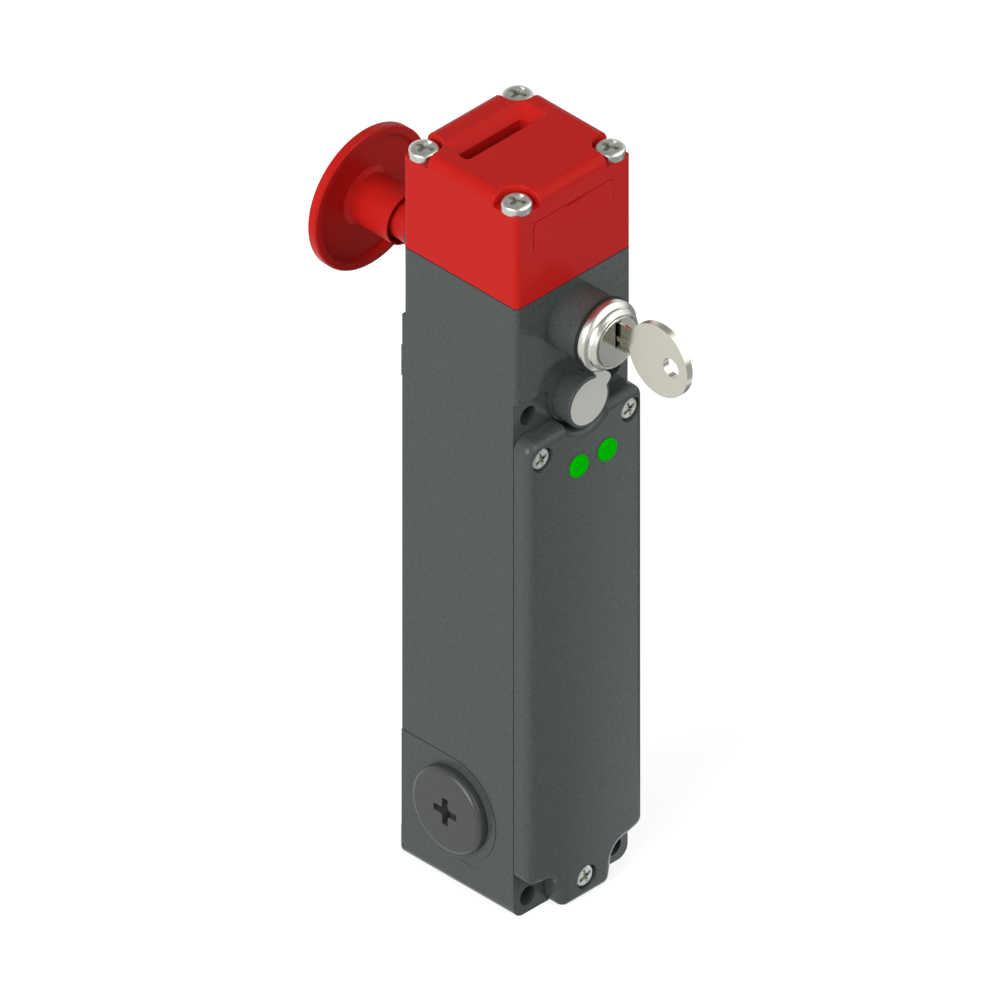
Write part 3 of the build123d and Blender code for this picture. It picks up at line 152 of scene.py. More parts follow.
@dataclass(frozen=True)
class Finish:
    """What a surface is made of and how it was made.

    Attributes:
        name: The material's name.
        colour: sRGB hex colour.
        roughness: Roughness of the surface.
        surface: How the surface was made.
        metallic: 1 for bare metal.
        ior: Refractive index of a non-metal.
        specular: Share of the index's own gloss, 0.5 for all of it.
        grain_mm: Size of the surface's grain, or the distance of its turning lines.
        height_mm: Height of the grain.
        mottle: How much the colour varies over the grain, from 0 to 1.
        uneven: How much the roughness varies over the grain, from 0 to 1.
        centre_mm: A point on the turning axis of a turned surface.
        glow: Strength of the light that the piece gives off.
    """

    name: str
    colour: str
    roughness: float
    surface: Surface = Surface.MOULDED
    metallic: float = 0.0
    ior: float = 1.5
    specular: float = 0.5
    grain_mm: float = 0.4
    height_mm: float = 0.002
    mottle: float = 0.1
    uneven: float = 0.15
    centre_mm: tuple[float, float, float] = (0.0, 0.0, 0.0)
    glow: float = 0.0

    def material(self) -> bpy.types.Material:
        """Gives the finish's material, made the first time it is asked for.

        Returns:
            The material.
        """
        made = bpy.data.materials.get(self.name)
        if made:
            return made
        made = bpy.data.materials.new(self.name)
        made.use_nodes = True
        tree = made.node_tree
        shader = tree.nodes["Principled BSDF"]
        shader.inputs["Metallic"].default_value = self.metallic
        if not self.metallic:
            shader.inputs["IOR"].default_value = self.ior
            shader.inputs["Specular IOR Level"].default_value = self.specular
        if self.glow:
            shader.inputs["Emission Color"].default_value = linear(self.colour)
            shader.inputs["Emission Strength"].default_value = self.glow
        grain = self.grain(tree)
        full = linear(self.colour)[:3]
        dark, light = (tuple(c * share for c in full) for share in (1 - self.mottle, 1 + self.mottle))
        tint = add_node(tree, "ShaderNodeMix", {0: grain, 6: (*dark, 1.0), 7: (*light, 1.0)}, data_type="RGBA")
        tree.links.new(tint.outputs[2], shader.inputs["Base Color"])
        low, high = self.roughness * (1 - self.uneven), self.roughness * (1 + self.uneven)
        gloss = add_node(tree, "ShaderNodeMapRange", {"Value": grain, "To Min": high, "To Max": low})
        tree.links.new(gloss.outputs["Result"], shader.inputs["Roughness"])
        bump = add_node(tree, "ShaderNodeBump", {"Height": grain, "Distance": self.height_mm * MM})
        tree.links.new(bump.outputs["Normal"], shader.inputs["Normal"])
        return made

    def grain(self, tree: bpy.types.NodeTree) -> bpy.types.NodeSocket:
        """Adds the fine pattern that the way of making leaves.

        Args:
            tree: The material's nodes.

        Returns:
            The pattern, from 0 to 1.
        """
        place = add_node(tree, "ShaderNodeTexCoord").outputs["Object"]
        scale = 1 / (self.grain_mm * MM)
        if self.surface is Surface.TURNED:
            shift = tuple(-c * MM for c in self.centre_mm)
            centred = add_node(tree, "ShaderNodeMapping", {"Vector": place, "Location": shift})
            rings = add_node(
                tree,
                "ShaderNodeTexWave",
                {
                    "Vector": centred.outputs[0],
                    "Scale": scale / RINGS_PER_UNIT,
                    "Distortion": RING_WANDER,
                    "Detail": 2.0,
                },
                wave_type="RINGS",
                rings_direction="Y",
            )
            return rings.outputs["Fac"]
        if self.surface is Surface.ROLLED:
            place = add_node(tree, "ShaderNodeMapping", {"Vector": place, "Scale": ROLLED_SCALE}).outputs[0]
        detail = 1.0 if self.surface is Surface.SPRAYED else 4.0
        noise = add_node(tree, "ShaderNodeTexNoise", {"Vector": place, "Scale": scale, "Detail": detail})
        return noise.outputs["Fac"]


# The real grain and lines of these finishes are 0.02 to 0.2 mm wide. Each is drawn coarser, so that it shows: grain_mm
# gives the size that is drawn.

# Powder coat on an aluminium die casting: dark grey with a fine speckle, glossy enough to mirror what stands on it.
# Its real grain of 0.2 mm is drawn at 0.7 mm.
POWDER_COAT = Finish(
    "powder_coated_aluminium_casting",
    "4d5251",
    0.16,
    Surface.SPRAYED,
    specular=0.2,
    grain_mm=0.7,
    height_mm=0.0015,
    mottle=0.3,
)
# Polyamide, moulded: a full red with hardly any sheen
RED_POLYAMIDE = Finish(
    "moulded_red_polyamide", "cb211c", 0.3, specular=0.09, grain_mm=0.6, height_mm=0.001, mottle=0.04
)
# Nickel on turned brass: grey metal whose turning lines, drawn at 0.32 mm, spread its lights out into rings
TURNED_NICKEL = Finish(
    "nickel_plated_turned_brass",
    "cbcac1",
    0.25,
    Surface.TURNED,
    metallic=1.0,
    grain_mm=0.32,
    height_mm=0.003,
    mottle=0.12,
    centre_mm=(0.0, 0.0, 175.0),
)
# Nickel on faced brass, painted a darker grey than the other nickel as painted shade for the plug face's dim
# reflection; the fine rings of the facing cut drawn at 0.32 mm
SHADED_FACED_NICKEL = Finish(
    "nickel_plated_faced_brass_painted_shade",
    "adaca2",
    0.16,
    Surface.TURNED,
    metallic=1.0,
    grain_mm=0.32,
    height_mm=0.002,
    mottle=0.06,
    centre_mm=(0.0, 0.0, 175.0),
)
# Nickel on rolled brass: an even warm grey with faint lines along the rolling, drawn at 0.5 mm
ROLLED_NICKEL = Finish(
    "nickel_plated_rolled_brass",
    "cdcbbe",
    0.2,
    Surface.ROLLED,
    metallic=1.0,
    grain_mm=0.5,
    height_mm=0.0004,
    mottle=0.03,
)
# Zinc on pressed steel: pale grey metal, its gloss uneven in patches drawn at 0.9 mm
ZINC_STEEL = Finish(
    "zinc_plated_steel", "c9c9c2", 0.28, Surface.ROLLED, metallic=1.0, grain_mm=0.9, height_mm=0.002, mottle=0.12
)
# Nitrile rubber: near black and dull
NITRILE = Finish("moulded_nitrile_rubber", "131415", 0.62, specular=0.3, grain_mm=0.5)
# Filled nitrile sheet of the head's seal: dull mid grey, so that the joint below the head hardly shows
GREY_NITRILE = Finish("die_cut_grey_nitrile_sheet", "4a4948", 0.6, specular=0.2, grain_mm=0.5)
# Polycarbonate over a lit lamp: an even, saturated green without gloss
GREEN_LENS = Finish("green_polycarbonate_lens", "00a600", 0.3, specular=0.0, grain_mm=2.0, mottle=0.03, glow=0.35)
# Grey polyamide of plugs and sleeve: dark, smooth, half glossy
GREY_POLYAMIDE = Finish("moulded_grey_polyamide", "474a47", 0.2, specular=0.3, grain_mm=0.5, mottle=0.06)
# Pale grey polyamide of the cap: flat and even
PALE_POLYAMIDE = Finish("moulded_pale_grey_polyamide", "cfd0c9", 0.45, specular=0.2, grain_mm=0.6, mottle=0.02)
# Black polybutylene terephthalate: smooth and half dull
BLACK_POLYESTER = Finish("moulded_black_polyester", "1c1d1e", 0.4, grain_mm=0.4)
# Solder mask on glass fibre board: deep green with a soft gloss
SOLDER_MASK = Finish("solder_masked_glass_fibre", "1c4a2a", 0.35, grain_mm=0.3, mottle=0.1)
# Enamelled copper wire: warm brown metal under a clear skin
COPPER_WIRE = Finish("enamelled_copper_wire", "b5683c", 0.28, Surface.ROLLED, metallic=1.0, grain_mm=0.6)
# Stamped brass: yellow metal with faint rolling lines
STAMPED_BRASS = Finish("stamped_brass", "c9a35a", 0.3, Surface.ROLLED, metallic=1.0, grain_mm=0.6)


@dataclass
class Turning:
    """A piece turned on a lathe.

    Attributes:
        profile: Radius and height of each point of the closed half section.
        foot: The point of the axis at height zero.
        axis: The way in which the heights count.
        steps: Faces round the axis.
    """

    profile: list[tuple[float, float]]
    foot: tuple[float, float, float]
    axis: Axis
    steps: int = 96

    def mesh(self, name: str) -> bpy.types.Mesh:
        """Turns the half section.

        Args:
            name: The mesh's name.

        Returns:
            The closed mesh, its faces outwards.
        """
        way, right, up = (Vector(d) for d in self.axis.value)
        shape = bmesh.new()
        rings = []
        for step in range(self.steps):
            turn = math.tau * step / self.steps
            out = right * math.cos(turn) + up * math.sin(turn)
            rings.append([shape.verts.new((Vector(self.foot) + out * r + way * h) * MM) for r, h in self.profile])
        count = len(self.profile)
        for here, there in zip(rings, rings[1:] + rings[:1]):
            for i in range(count):
                j = (i + 1) % count
                shape.faces.new((here[i], here[j], there[j], there[i]))
        bmesh.ops.recalc_face_normals(shape, faces=shape.faces)
        made = bpy.data.meshes.new(name)
        shape.to_mesh(made)
        shape.free()
        return made


@dataclass
class RuledForm:
    """A Geometry Nodes tree with named sizes, whose result is kept as a plain mesh.

    Attributes:
        title: Name of the tree.
        sizes: The tree's named sizes, lengths in metres, with what they are when none is given.
        tree: The tree.
        given: The tree's inputs by name.
    """

    title: ClassVar[str] = "ruled_form"
    sizes: ClassVar[dict[str, float | int | tuple]] = {}
    tree: bpy.types.NodeTree = field(init=False)
    given: dict[str, bpy.types.NodeSocket] = field(init=False)

    def __post_init__(self) -> None:
        """Makes the tree, its inputs, its form and its end."""
        self.tree = bpy.data.node_groups.new(self.title, "GeometryNodeTree")
        face = self.tree.interface
        face.new_socket("Geometry", in_out="OUTPUT", socket_type="NodeSocketGeometry")
        face.new_socket("Places", in_out="INPUT", socket_type="NodeSocketGeometry")
        kinds = {float: "NodeSocketFloat", int: "NodeSocketInt", tuple: "NodeSocketVector"}
        for size, value in self.sizes.items():
            face.new_socket(size, in_out="INPUT", socket_type=kinds[type(value)]).default_value = value
        face.new_socket("Finish", in_out="INPUT", socket_type="NodeSocketMaterial")
        self.given = {s.name: s for s in add_node(self.tree, "NodeGroupInput").outputs if s.name}
        real = add_node(self.tree, "GeometryNodeRealizeInstances", {0: self.form()})
        ends = {"Geometry": real.outputs[0], "Material": self.given["Finish"]}
        dressed = add_node(self.tree, "GeometryNodeSetMaterial", ends)
        add_node(self.tree, "NodeGroupOutput", {0: dressed.outputs[0]})

    def form(self) -> bpy.types.NodeSocket:
        """Builds the tree's form; a subclass gives it.

        Returns:
            The form's geometry.
        """
        return self.given["Places"]

    def mesh(self, finish: Finish, places: list[Vector], sizes: dict[str, object]) -> bpy.types.Mesh:
        """Runs the tree and keeps what it makes.

        Args:
            finish: The finish of the result.
            places: Points, in millimetres, that the form stands on.
            sizes: Input names to values, lengths in metres.

        Returns:
            A plain mesh.
        """
        seed = bpy.data.meshes.new("places")
        seed.from_pydata([place * MM for place in places], [], [])
        carrier = bpy.data.objects.new("carrier", seed)
        bpy.context.scene.collection.objects.link(carrier)
        grown = carrier.modifiers.new(self.title, "NODES")
        grown.node_group = self.tree
        values = dict(sizes) | {"Finish": finish.material()}
        for item in self.tree.interface.items_tree:
            if item.in_out == "INPUT" and item.name in values:
                grown[item.identifier] = values[item.name]
        bpy.context.view_layer.update()
        made = bpy.data.meshes.new_from_object(carrier.evaluated_get(bpy.context.evaluated_depsgraph_get()))
        carrier.modifiers.remove(grown)
        bpy.data.objects.remove(carrier)
        return made


@dataclass
class PanScrews(RuledForm):
    """Pan head screws: a lathed head with a tapered cross recess, and a plain shank below it.

    Attributes:
        points: Points of the head's half section.
        rim_share: Share of these points that make the straight rim.
        edge_reach: Width of the rounded edge, as a multiple of its height.
        unit_side: Radius of a four-sided cone whose side is one long.
        recess_foot: The same at the recess's foot, where it is narrower.
        recess_rise: Height of the cutting bars, as a multiple of the recess's depth.
    """

    points: ClassVar[int] = 13
    rim_share: ClassVar[float] = 0.2
    edge_reach: ClassVar[float] = 1.5
    unit_side: ClassVar[float] = 0.7071
    recess_foot: ClassVar[float] = 0.5
    recess_rise: ClassVar[float] = 1.15
    title: ClassVar[str] = "pan_screws"
    sizes: ClassVar[dict[str, float | int | tuple]] = {
        "Head radius": 0.004,
        "Head height": 0.0025,
        "Edge radius": 0.001,
        "Shank radius": 0.002,
        "Shank length": 0.01,
        "Cross length": 0.0046,
        "Cross width": 0.0011,
        "Cross depth": 0.001,
        "Facing": (0.0, 0.0, 1.0),
        "Turn": 0.0,
        "Steps": 64,
    }

    def form(self) -> bpy.types.NodeSocket:
        """Builds one screw and puts it on each place.

        Returns:
            The screws.
        """
        screw = add_node(self.tree, "GeometryNodeJoinGeometry", {0: [self.head(), self.shank()]}).outputs[0]
        spin = add_node(self.tree, "ShaderNodeCombineXYZ", {"Z": self.given["Turn"]}).outputs[0]
        screw = add_node(self.tree, "GeometryNodeTransform", {"Geometry": screw, "Rotation": spin}).outputs[0]
        way = add_node(self.tree, "FunctionNodeAlignRotationToVector", {"Vector": self.given["Facing"]}, axis="Z")
        stands = {"Points": self.given["Places"], "Instance": screw, "Rotation": way.outputs[0]}
        return add_node(self.tree, "GeometryNodeInstanceOnPoints", stands).outputs[0]

    def head(self) -> bpy.types.NodeSocket:
        """Lathes the head: a straight rim, then a quarter round to the flat top, with the recess cut in.

        Returns:
            The head.
        """
        tree, given, round_share = self.tree, self.given, 1 - self.rim_share
        order = add_node(tree, "GeometryNodeInputIndex").outputs[0]
        share = add_node(tree, "ShaderNodeMath", {0: order, 1: self.points - 1}, operation="DIVIDE").outputs[0]
        bow = {0: share, 1: 1 / round_share, 2: -self.rim_share / round_share}
        bow = add_node(tree, "ShaderNodeMath", bow, operation="MULTIPLY_ADD", use_clamp=True).outputs[0]
        turn = add_node(tree, "ShaderNodeMath", {0: bow, 1: math.pi / 2}, operation="MULTIPLY").outputs[0]
        straight = {0: share, 1: 1 / self.rim_share}
        straight = add_node(tree, "ShaderNodeMath", straight, operation="MULTIPLY", use_clamp=True).outputs[0]
        up = add_node(tree, "ShaderNodeMath", {0: turn}, operation="SINE").outputs[0]
        out = add_node(tree, "ShaderNodeMath", {0: turn}, operation="COSINE").outputs[0]
        edge, radius, height = given["Edge radius"], given["Head radius"], given["Head height"]
        rim = add_node(tree, "ShaderNodeMath", {0: height, 1: edge}, operation="SUBTRACT").outputs[0]
        rim = add_node(tree, "ShaderNodeMath", {0: rim, 1: straight}, operation="MULTIPLY").outputs[0]
        rise = add_node(tree, "ShaderNodeMath", {0: edge, 1: up, 2: rim}, operation="MULTIPLY_ADD").outputs[0]
        bend = add_node(tree, "ShaderNodeMath", {0: edge, 1: self.edge_reach}, operation="MULTIPLY").outputs[0]
        flat = add_node(tree, "ShaderNodeMath", {0: radius, 1: bend}, operation="SUBTRACT").outputs[0]
        reach = add_node(tree, "ShaderNodeMath", {0: bend, 1: out, 2: flat}, operation="MULTIPLY_ADD").outputs[0]
        line = add_node(tree, "GeometryNodeCurvePrimitiveLine", {"End": (0.0, 0.0, 1.0)}).outputs[0]
        line = add_node(tree, "GeometryNodeResampleCurve", {"Curve": line, "Count": self.points}).outputs[0]
        spot = add_node(tree, "ShaderNodeCombineXYZ", {"Z": rise}).outputs[0]
        line = add_node(tree, "GeometryNodeSetPosition", {"Geometry": line, "Position": spot}).outputs[0]
        circle = {"Resolution": given["Steps"], "Radius": 1.0}
        circle = add_node(tree, "GeometryNodeCurvePrimitiveCircle", circle).outputs[0]
        swept = {"Curve": line, "Profile Curve": circle, "Scale": reach, "Fill Caps": True}
        swept = add_node(tree, "GeometryNodeCurveToMesh", swept).outputs[0]
        cut = {"Mesh 1": swept, "Mesh 2": self.recess()}
        return add_node(tree, "GeometryNodeMeshBoolean", cut, operation="DIFFERENCE", solver="EXACT").outputs[0]

    def recess(self) -> list[bpy.types.NodeSocket]:
        """Makes the two tapered bars that the cross recess is cut with.

        Returns:
            The bars.
        """
        tree, given = self.tree, self.given
        bar = {"Vertices": 4, "Radius Top": self.unit_side, "Radius Bottom": self.recess_foot, "Depth": 1.0}
        bar = add_node(tree, "GeometryNodeMeshCone", bar).outputs[0]
        bar = {"Geometry": bar, "Rotation": (0.0, 0.0, math.pi / 4)}
        bar = add_node(tree, "GeometryNodeTransform", bar).outputs[0]
        foot = {0: given["Head height"], 1: given["Cross depth"]}
        foot = add_node(tree, "ShaderNodeMath", foot, operation="SUBTRACT").outputs[0]
        lift = add_node(tree, "ShaderNodeCombineXYZ", {"Z": foot}).outputs[0]
        tall = {0: given["Cross depth"], 1: self.recess_rise}
        tall = add_node(tree, "ShaderNodeMath", tall, operation="MULTIPLY").outputs[0]
        bars = []
        for first, second in (("Cross length", "Cross width"), ("Cross width", "Cross length")):
            size = add_node(tree, "ShaderNodeCombineXYZ", {0: given[first], 1: given[second], 2: tall}).outputs[0]
            placed = {"Geometry": bar, "Scale": size, "Translation": lift}
            bars.append(add_node(tree, "GeometryNodeTransform", placed).outputs[0])
        return bars

    def shank(self) -> bpy.types.NodeSocket:
        """Makes the shank below the head.

        Returns:
            The shank.
        """
        tree, given = self.tree, self.given
        rod = {"Vertices": 24, "Radius": given["Shank radius"], "Depth": given["Shank length"]}
        rod = add_node(tree, "GeometryNodeMeshCylinder", rod).outputs[0]
        down = add_node(tree, "ShaderNodeMath", {0: given["Shank length"], 1: -0.5}, operation="MULTIPLY").outputs[0]
        drop = add_node(tree, "ShaderNodeCombineXYZ", {"Z": down}).outputs[0]
        return add_node(tree, "GeometryNodeTransform", {"Geometry": rod, "Translation": drop}).outputs[0]


@dataclass
class WoundWire(RuledForm):
    """Wire in a helix about +Z: the ridges of a thread, or the turns of a winding."""

    title: ClassVar[str] = "wound_wire"
    sizes: ClassVar[dict[str, float | int | tuple]] = {
        "Radius": 0.009,
        "Wire radius": 0.0005,
        "Height": 0.01,
        "Turns": 6.0,
        "Points a turn": 40,
        "Wire sides": 8,
    }

    def form(self) -> bpy.types.NodeSocket:
        """Sweeps the wire along the helix and puts it on each place.

        Returns:
            The wire.
        """
        tree, given = self.tree, self.given
        helix = {"Resolution": given["Points a turn"], "Rotations": given["Turns"], "Height": given["Height"]}
        helix |= {"Start Radius": given["Radius"], "End Radius": given["Radius"]}
        helix = add_node(tree, "GeometryNodeCurveSpiral", helix).outputs[0]
        wire = {"Resolution": given["Wire sides"], "Radius": given["Wire radius"]}
        wire = add_node(tree, "GeometryNodeCurvePrimitiveCircle", wire).outputs[0]
        swept = {"Curve": helix, "Profile Curve": wire, "Fill Caps": True}
        swept = add_node(tree, "GeometryNodeCurveToMesh", swept).outputs[0]
        stands = {"Points": given["Places"], "Instance": swept}
        return add_node(tree, "GeometryNodeInstanceOnPoints", stands).outputs[0]


@dataclass(frozen=True)
class ScrewSize:
    """Sizes of a pan head screw.

    Attributes:
        radius: Radius of the head.
        height: Height of the head.
        edge: Height of the head's rounded edge.
        shank: Radius of the shank.
        cross_length: Length of the recess.
        cross_width: Width of the recess's arms.
        cross_depth: Depth of the recess.
        turn: Turn of the recess about the screw's axis, in radians.
    """

    radius: float
    height: float
    edge: float
    shank: float
    cross_length: float
    cross_width: float
    cross_depth: float
    turn: float


@dataclass
class SubAssembly:
    """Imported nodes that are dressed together; a subclass adds its finer pieces.

    Attributes:
        finishes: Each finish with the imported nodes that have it.
        nodes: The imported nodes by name.
    """

    finishes: ClassVar[dict[Finish, list[str]]] = {}
    nodes: dict[str, bpy.types.Object]

    def dress(self) -> None:
        """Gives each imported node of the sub-assembly its finish."""
        for finish, names in self.finishes.items():
            for name in names:
                mesh = self.nodes[name].data
                mesh.materials.clear()
                mesh.materials.append(finish.material())
                log.info("%s: %s", name, finish.name)

    def build(self) -> None:
        """Makes the finer pieces; a sub-assembly without any has none to make."""

    def settle(
        self,
        mesh: bpy.types.Mesh,
        name: str,
        finish: Finish,
        slot: str,
        body: str = SHELL,
        stands_for: tuple = (),
        crease: float = CREASE,
    ) -> bpy.types.Object:
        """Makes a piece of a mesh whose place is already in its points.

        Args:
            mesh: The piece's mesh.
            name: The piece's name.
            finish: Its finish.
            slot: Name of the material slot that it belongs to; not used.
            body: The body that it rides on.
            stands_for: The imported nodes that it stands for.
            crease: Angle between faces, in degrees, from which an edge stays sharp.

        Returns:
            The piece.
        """
        mesh.name = name
        mesh.shade_smooth()
        mesh.set_sharp_from_angle(angle=math.radians(crease))
        mesh.materials.clear()
        mesh.materials.append(finish.material())
        made = bpy.data.objects.new(name, mesh)
        bpy.context.scene.collection.objects.link(made)
        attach(made, body)
        if stands_for:
            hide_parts(*stands_for)
        log.info("%s: %s, %d faces", name, finish.name, len(mesh.polygons))
        return made

    def merged(self, node: str) -> bmesh.types.BMesh:
        """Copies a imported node, whose triangles are loose, and joins them.

        Args:
            node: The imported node.

        Returns:
            The joined shape.
        """
        shape = bmesh.new()
        shape.from_mesh(self.nodes[node].data)
        bmesh.ops.remove_doubles(shape, verts=shape.verts, dist=MERGE)
        return shape

    def bevelled(self, node: str, width: float) -> bpy.types.Mesh:
        """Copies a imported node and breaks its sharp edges.

        Args:
            node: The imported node.
            width: Width of the broken edges.

        Returns:
            The mesh with bevelled edges.
        """
        shape = self.merged(node)
        bmesh.ops.dissolve_limit(shape, angle_limit=FLAT, verts=shape.verts, edges=shape.edges)
        sharp = [e for e in shape.edges if len(e.link_faces) == 2 and e.calc_face_angle() > SHARP]
        bmesh.ops.bevel(
            shape, geom=sharp, offset=width * MM, segments=2, profile=0.5, affect="EDGES", clamp_overlap=True
        )
        made = bpy.data.meshes.new(node)
        shape.to_mesh(made)
        shape.free()
        return made

    def screws(self, name: str, stands_for: tuple, head: ScrewSize, axis: Axis) -> None:
        """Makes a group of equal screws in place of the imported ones.

        Args:
            name: Name of the piece.
            stands_for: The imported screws.
            head: Sizes of the screws.
            axis: Where the heads look.
        """
        places, length = [], 0.0
        for node in stands_for:
            low, high = (Vector(corner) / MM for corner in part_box(node))
            ends = sorted((low.dot(axis.way), high.dot(axis.way)))
            seat = ends[1] - head.height
            length = seat - ends[0]
            middle = (low + high) / 2
            places.append(middle + axis.way * (seat - middle.dot(axis.way)))
        sizes = {
            "Head radius": head.radius * MM,
            "Head height": head.height * MM,
            "Edge radius": head.edge * MM,
            "Shank radius": head.shank * MM,
            "Shank length": length * MM,
            "Cross length": head.cross_length * MM,
            "Cross width": head.cross_width * MM,
            "Cross depth": head.cross_depth * MM,
            "Facing": tuple(axis.way),
            "Turn": head.turn,
        }
        self.settle(PanScrews().mesh(ZINC_STEEL, places, sizes), name, ZINC_STEEL, "steel", stands_for=stands_for)


@dataclass
class Housing(SubAssembly):
    """The die-cast housing with the thread of its open cable entry.

    Attributes:
        thread_radius: Radius of the thread ridge's centre line, just inside the entry's bore.
        pitch: Rise of the thread in one turn.
        thread_foot: Height at which the thread starts.
        thread_length: Length of the thread.
        side_x: The left wall's plane.
        pad_x: The plane of the pad on the left wall.
        pad_y: The pad's front edge below its round part.
        pad_z: Bottom and top of that edge.
        run_out: Length over which the edge runs out into the wall.
        backing: How deep the run-out's back lies in the wall.
    """

    finishes: ClassVar[dict[Finish, list[str]]] = {POWDER_COAT: ["housing"]}
    thread_radius: float = 9.95
    pitch: float = 1.5
    thread_foot: float = 1.0
    thread_length: float = 13.5
    side_x: float = 20.2
    pad_x: float = 20.42
    pad_y: float = 2.15
    pad_z: tuple[float, float] = (3.0, 9.25)
    run_out: float = 11.0
    backing: float = 0.1

    def build(self) -> None:
        """Adds the thread, and the pads' run-out on both walls."""
        self.thread()
        self.run_outs()

    def thread(self) -> None:
        """Winds the thread's ridge round the entry."""
        sizes = {
            "Radius": self.thread_radius * MM,
            "Wire radius": self.pitch / 2 * MM,
            "Height": self.thread_length * MM,
            "Turns": self.thread_length / self.pitch,
            "Points a turn": 72,
            "Wire sides": 6,
        }
        thread = WoundWire().mesh(POWDER_COAT, [Vector((0.0, 0.0, self.thread_foot))], sizes)
        self.settle(thread, "entry_thread", POWDER_COAT, "housing_paint")

    def run_outs(self) -> None:
        """Makes a flat wedge from the edge of each pad into its wall."""
        back, front = self.side_x - self.backing, self.pad_y - self.run_out
        wedge = ((self.pad_x, self.pad_y), (back, self.pad_y), (back, front), (self.side_x, front))
        shape = bmesh.new()
        for side in (-1, 1):
            low, high = (
                [shape.verts.new(Vector((side * x, y, z)) * MM) for x, y in wedge]
                for z in self.pad_z
            )
            shape.faces.new(low)
            shape.faces.new(high)
            for i in range(4):
                shape.faces.new((low[i], low[(i + 1) % 4], high[(i + 1) % 4], high[i]))
        bmesh.ops.recalc_face_normals(shape, faces=shape.faces)
        mesh = bpy.data.meshes.new("pad_run_outs")
        shape.to_mesh(mesh)
        shape.free()
        self.settle(mesh, "pad_run_outs", POWDER_COAT, "housing_paint")


@dataclass
class Cover(SubAssembly):
    """The front cover with its seal, its lenses and their board, and its three screws.

    Attributes:
        screw: Sizes of the cover's screws.
    """

    finishes: ClassVar[dict[Finish, list[str]]] = {
        POWDER_COAT: ["front_cover"],
        NITRILE: ["cover_gasket"],
        GREEN_LENS: ["lens_left", "lens_right"],
        SOLDER_MASK: ["indicator_board"],
        ZINC_STEEL: ["cover_screw_left", "cover_screw_right", "cover_screw_foot"],
    }
    screw: ScrewSize = ScrewSize(3.35, 2.1, 0.8, 1.75, 4.3, 1.05, 1.35, 0.35)

    def build(self) -> None:
        """Makes the cover's screws."""
        packed = ("cover_screw_left", "cover_screw_right", "cover_screw_foot")
        self.screws("cover_screws", packed, self.screw, Axis.FRONT)


@dataclass
class Head(SubAssembly):
    """The red head with its insert, its cam and its four long screws.

    Attributes:
        screw: Sizes of the head's screws.
        insert_bevel: Width of the insert's broken edges.
    """

    finishes: ClassVar[dict[Finish, list[str]]] = {
        RED_POLYAMIDE: ["head_casing", "slot_insert"],
        GREY_NITRILE: ["head_gasket"],
        BLACK_POLYESTER: ["cam_bearings"],
        ZINC_STEEL: ["cam_shaft", "actuating_cam", "head_screw_1", "head_screw_2", "head_screw_3", "head_screw_4"],
    }
    screw: ScrewSize = ScrewSize(4.0, 2.55, 0.9, 2.0, 5.3, 1.35, 1.6, 0.25)
    insert_bevel: float = 0.14

    def build(self) -> None:
        """Makes the head's screws, and the insert with the broken edges that draw its joint."""
        insert = self.bevelled("slot_insert", self.insert_bevel)
        self.settle(insert, "cut_insert", RED_POLYAMIDE, "red_plastic", stands_for=("slot_insert",))
        packed = tuple(f"head_screw_{number}" for number in range(1, 5))
        self.screws("head_screws", packed, self.screw, Axis.UP)


@dataclass
class KeyLock(SubAssembly):
    """The key lock: seal, turned body with its stepped bezel, plug, nut, cam plate and key.

    Attributes:
        foot: Point of the lock's axis at the bezel's foot.
        bezel: Radius and height of the bezel's steps, outside first.
        bore_radius: Radius of the bore for the plug.
        barrel_radius: Radius of the barrel behind the bezel.
        key_bevel: Width of the bevel along the key's edges.
        key_crease: Angle in degrees above which the key's edges stay sharp, low because its faces are wide.
    """

    finishes: ClassVar[dict[Finish, list[str]]] = {
        NITRILE: ["lock_seal"],
        TURNED_NICKEL: ["lock_body", "lock_nut"],
        # The plug's nickel is painted a darker grey: painted shade
        SHADED_FACED_NICKEL: ["lock_plug"],
        ZINC_STEEL: ["lock_cam"],
        ROLLED_NICKEL: ["key"],
    }
    foot: tuple[float, float, float] = (0.0, -31.0, 175.0)
    bezel: tuple[tuple[float, float], ...] = (
        (9.7, 0.0),
        (9.7, 1.38),
        (9.66, 1.52),
        (9.1, 2.12),
        (8.62, 2.42),
        (8.5, 2.56),
        (8.42, 3.12),
        (8.34, 3.34),
        (8.02, 3.72),
        (7.78, 4.06),
        (7.64, 4.3),
        (7.5, 4.44),
        (7.3, 4.5),
        (7.1, 4.46),
        (7.0, 4.3),
        (7.0, 3.6),
    )
    bore_radius: float = 6.65
    barrel_radius: float = 7.5
    key_bevel: float = 0.16
    key_crease: float = 12.0

    def build(self) -> None:
        """Makes the lock's body and the bevelled key."""
        back = self.foot[1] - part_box("lock_body")[1][1] / MM
        barrel = [
            (self.bore_radius, self.bezel[-1][1]),
            (self.bore_radius, back),
            (self.barrel_radius, back),
            (self.barrel_radius, 0.0),
        ]
        body = Turning([*self.bezel, *barrel], self.foot, Axis.FRONT, steps=128).mesh("lock_bezel")
        self.settle(body, "lock_bezel", TURNED_NICKEL, "nickel", stands_for=("lock_body",))
        key = self.bevelled("key", self.key_bevel)
        self.settle(key, "cut_key", ROLLED_NICKEL, "nickel", "key_body", ("key",), self.key_crease)


@dataclass
class ToolRelease(SubAssembly):
    """The tool release: spindle with its ring and seal, under the pale cap."""

    finishes: ClassVar[dict[Finish, list[str]]] = {
        ZINC_STEEL: ["release_spindle", "release_clip"],
        NITRILE: ["release_seal"],
        PALE_POLYAMIDE: ["release_cap"],
    }


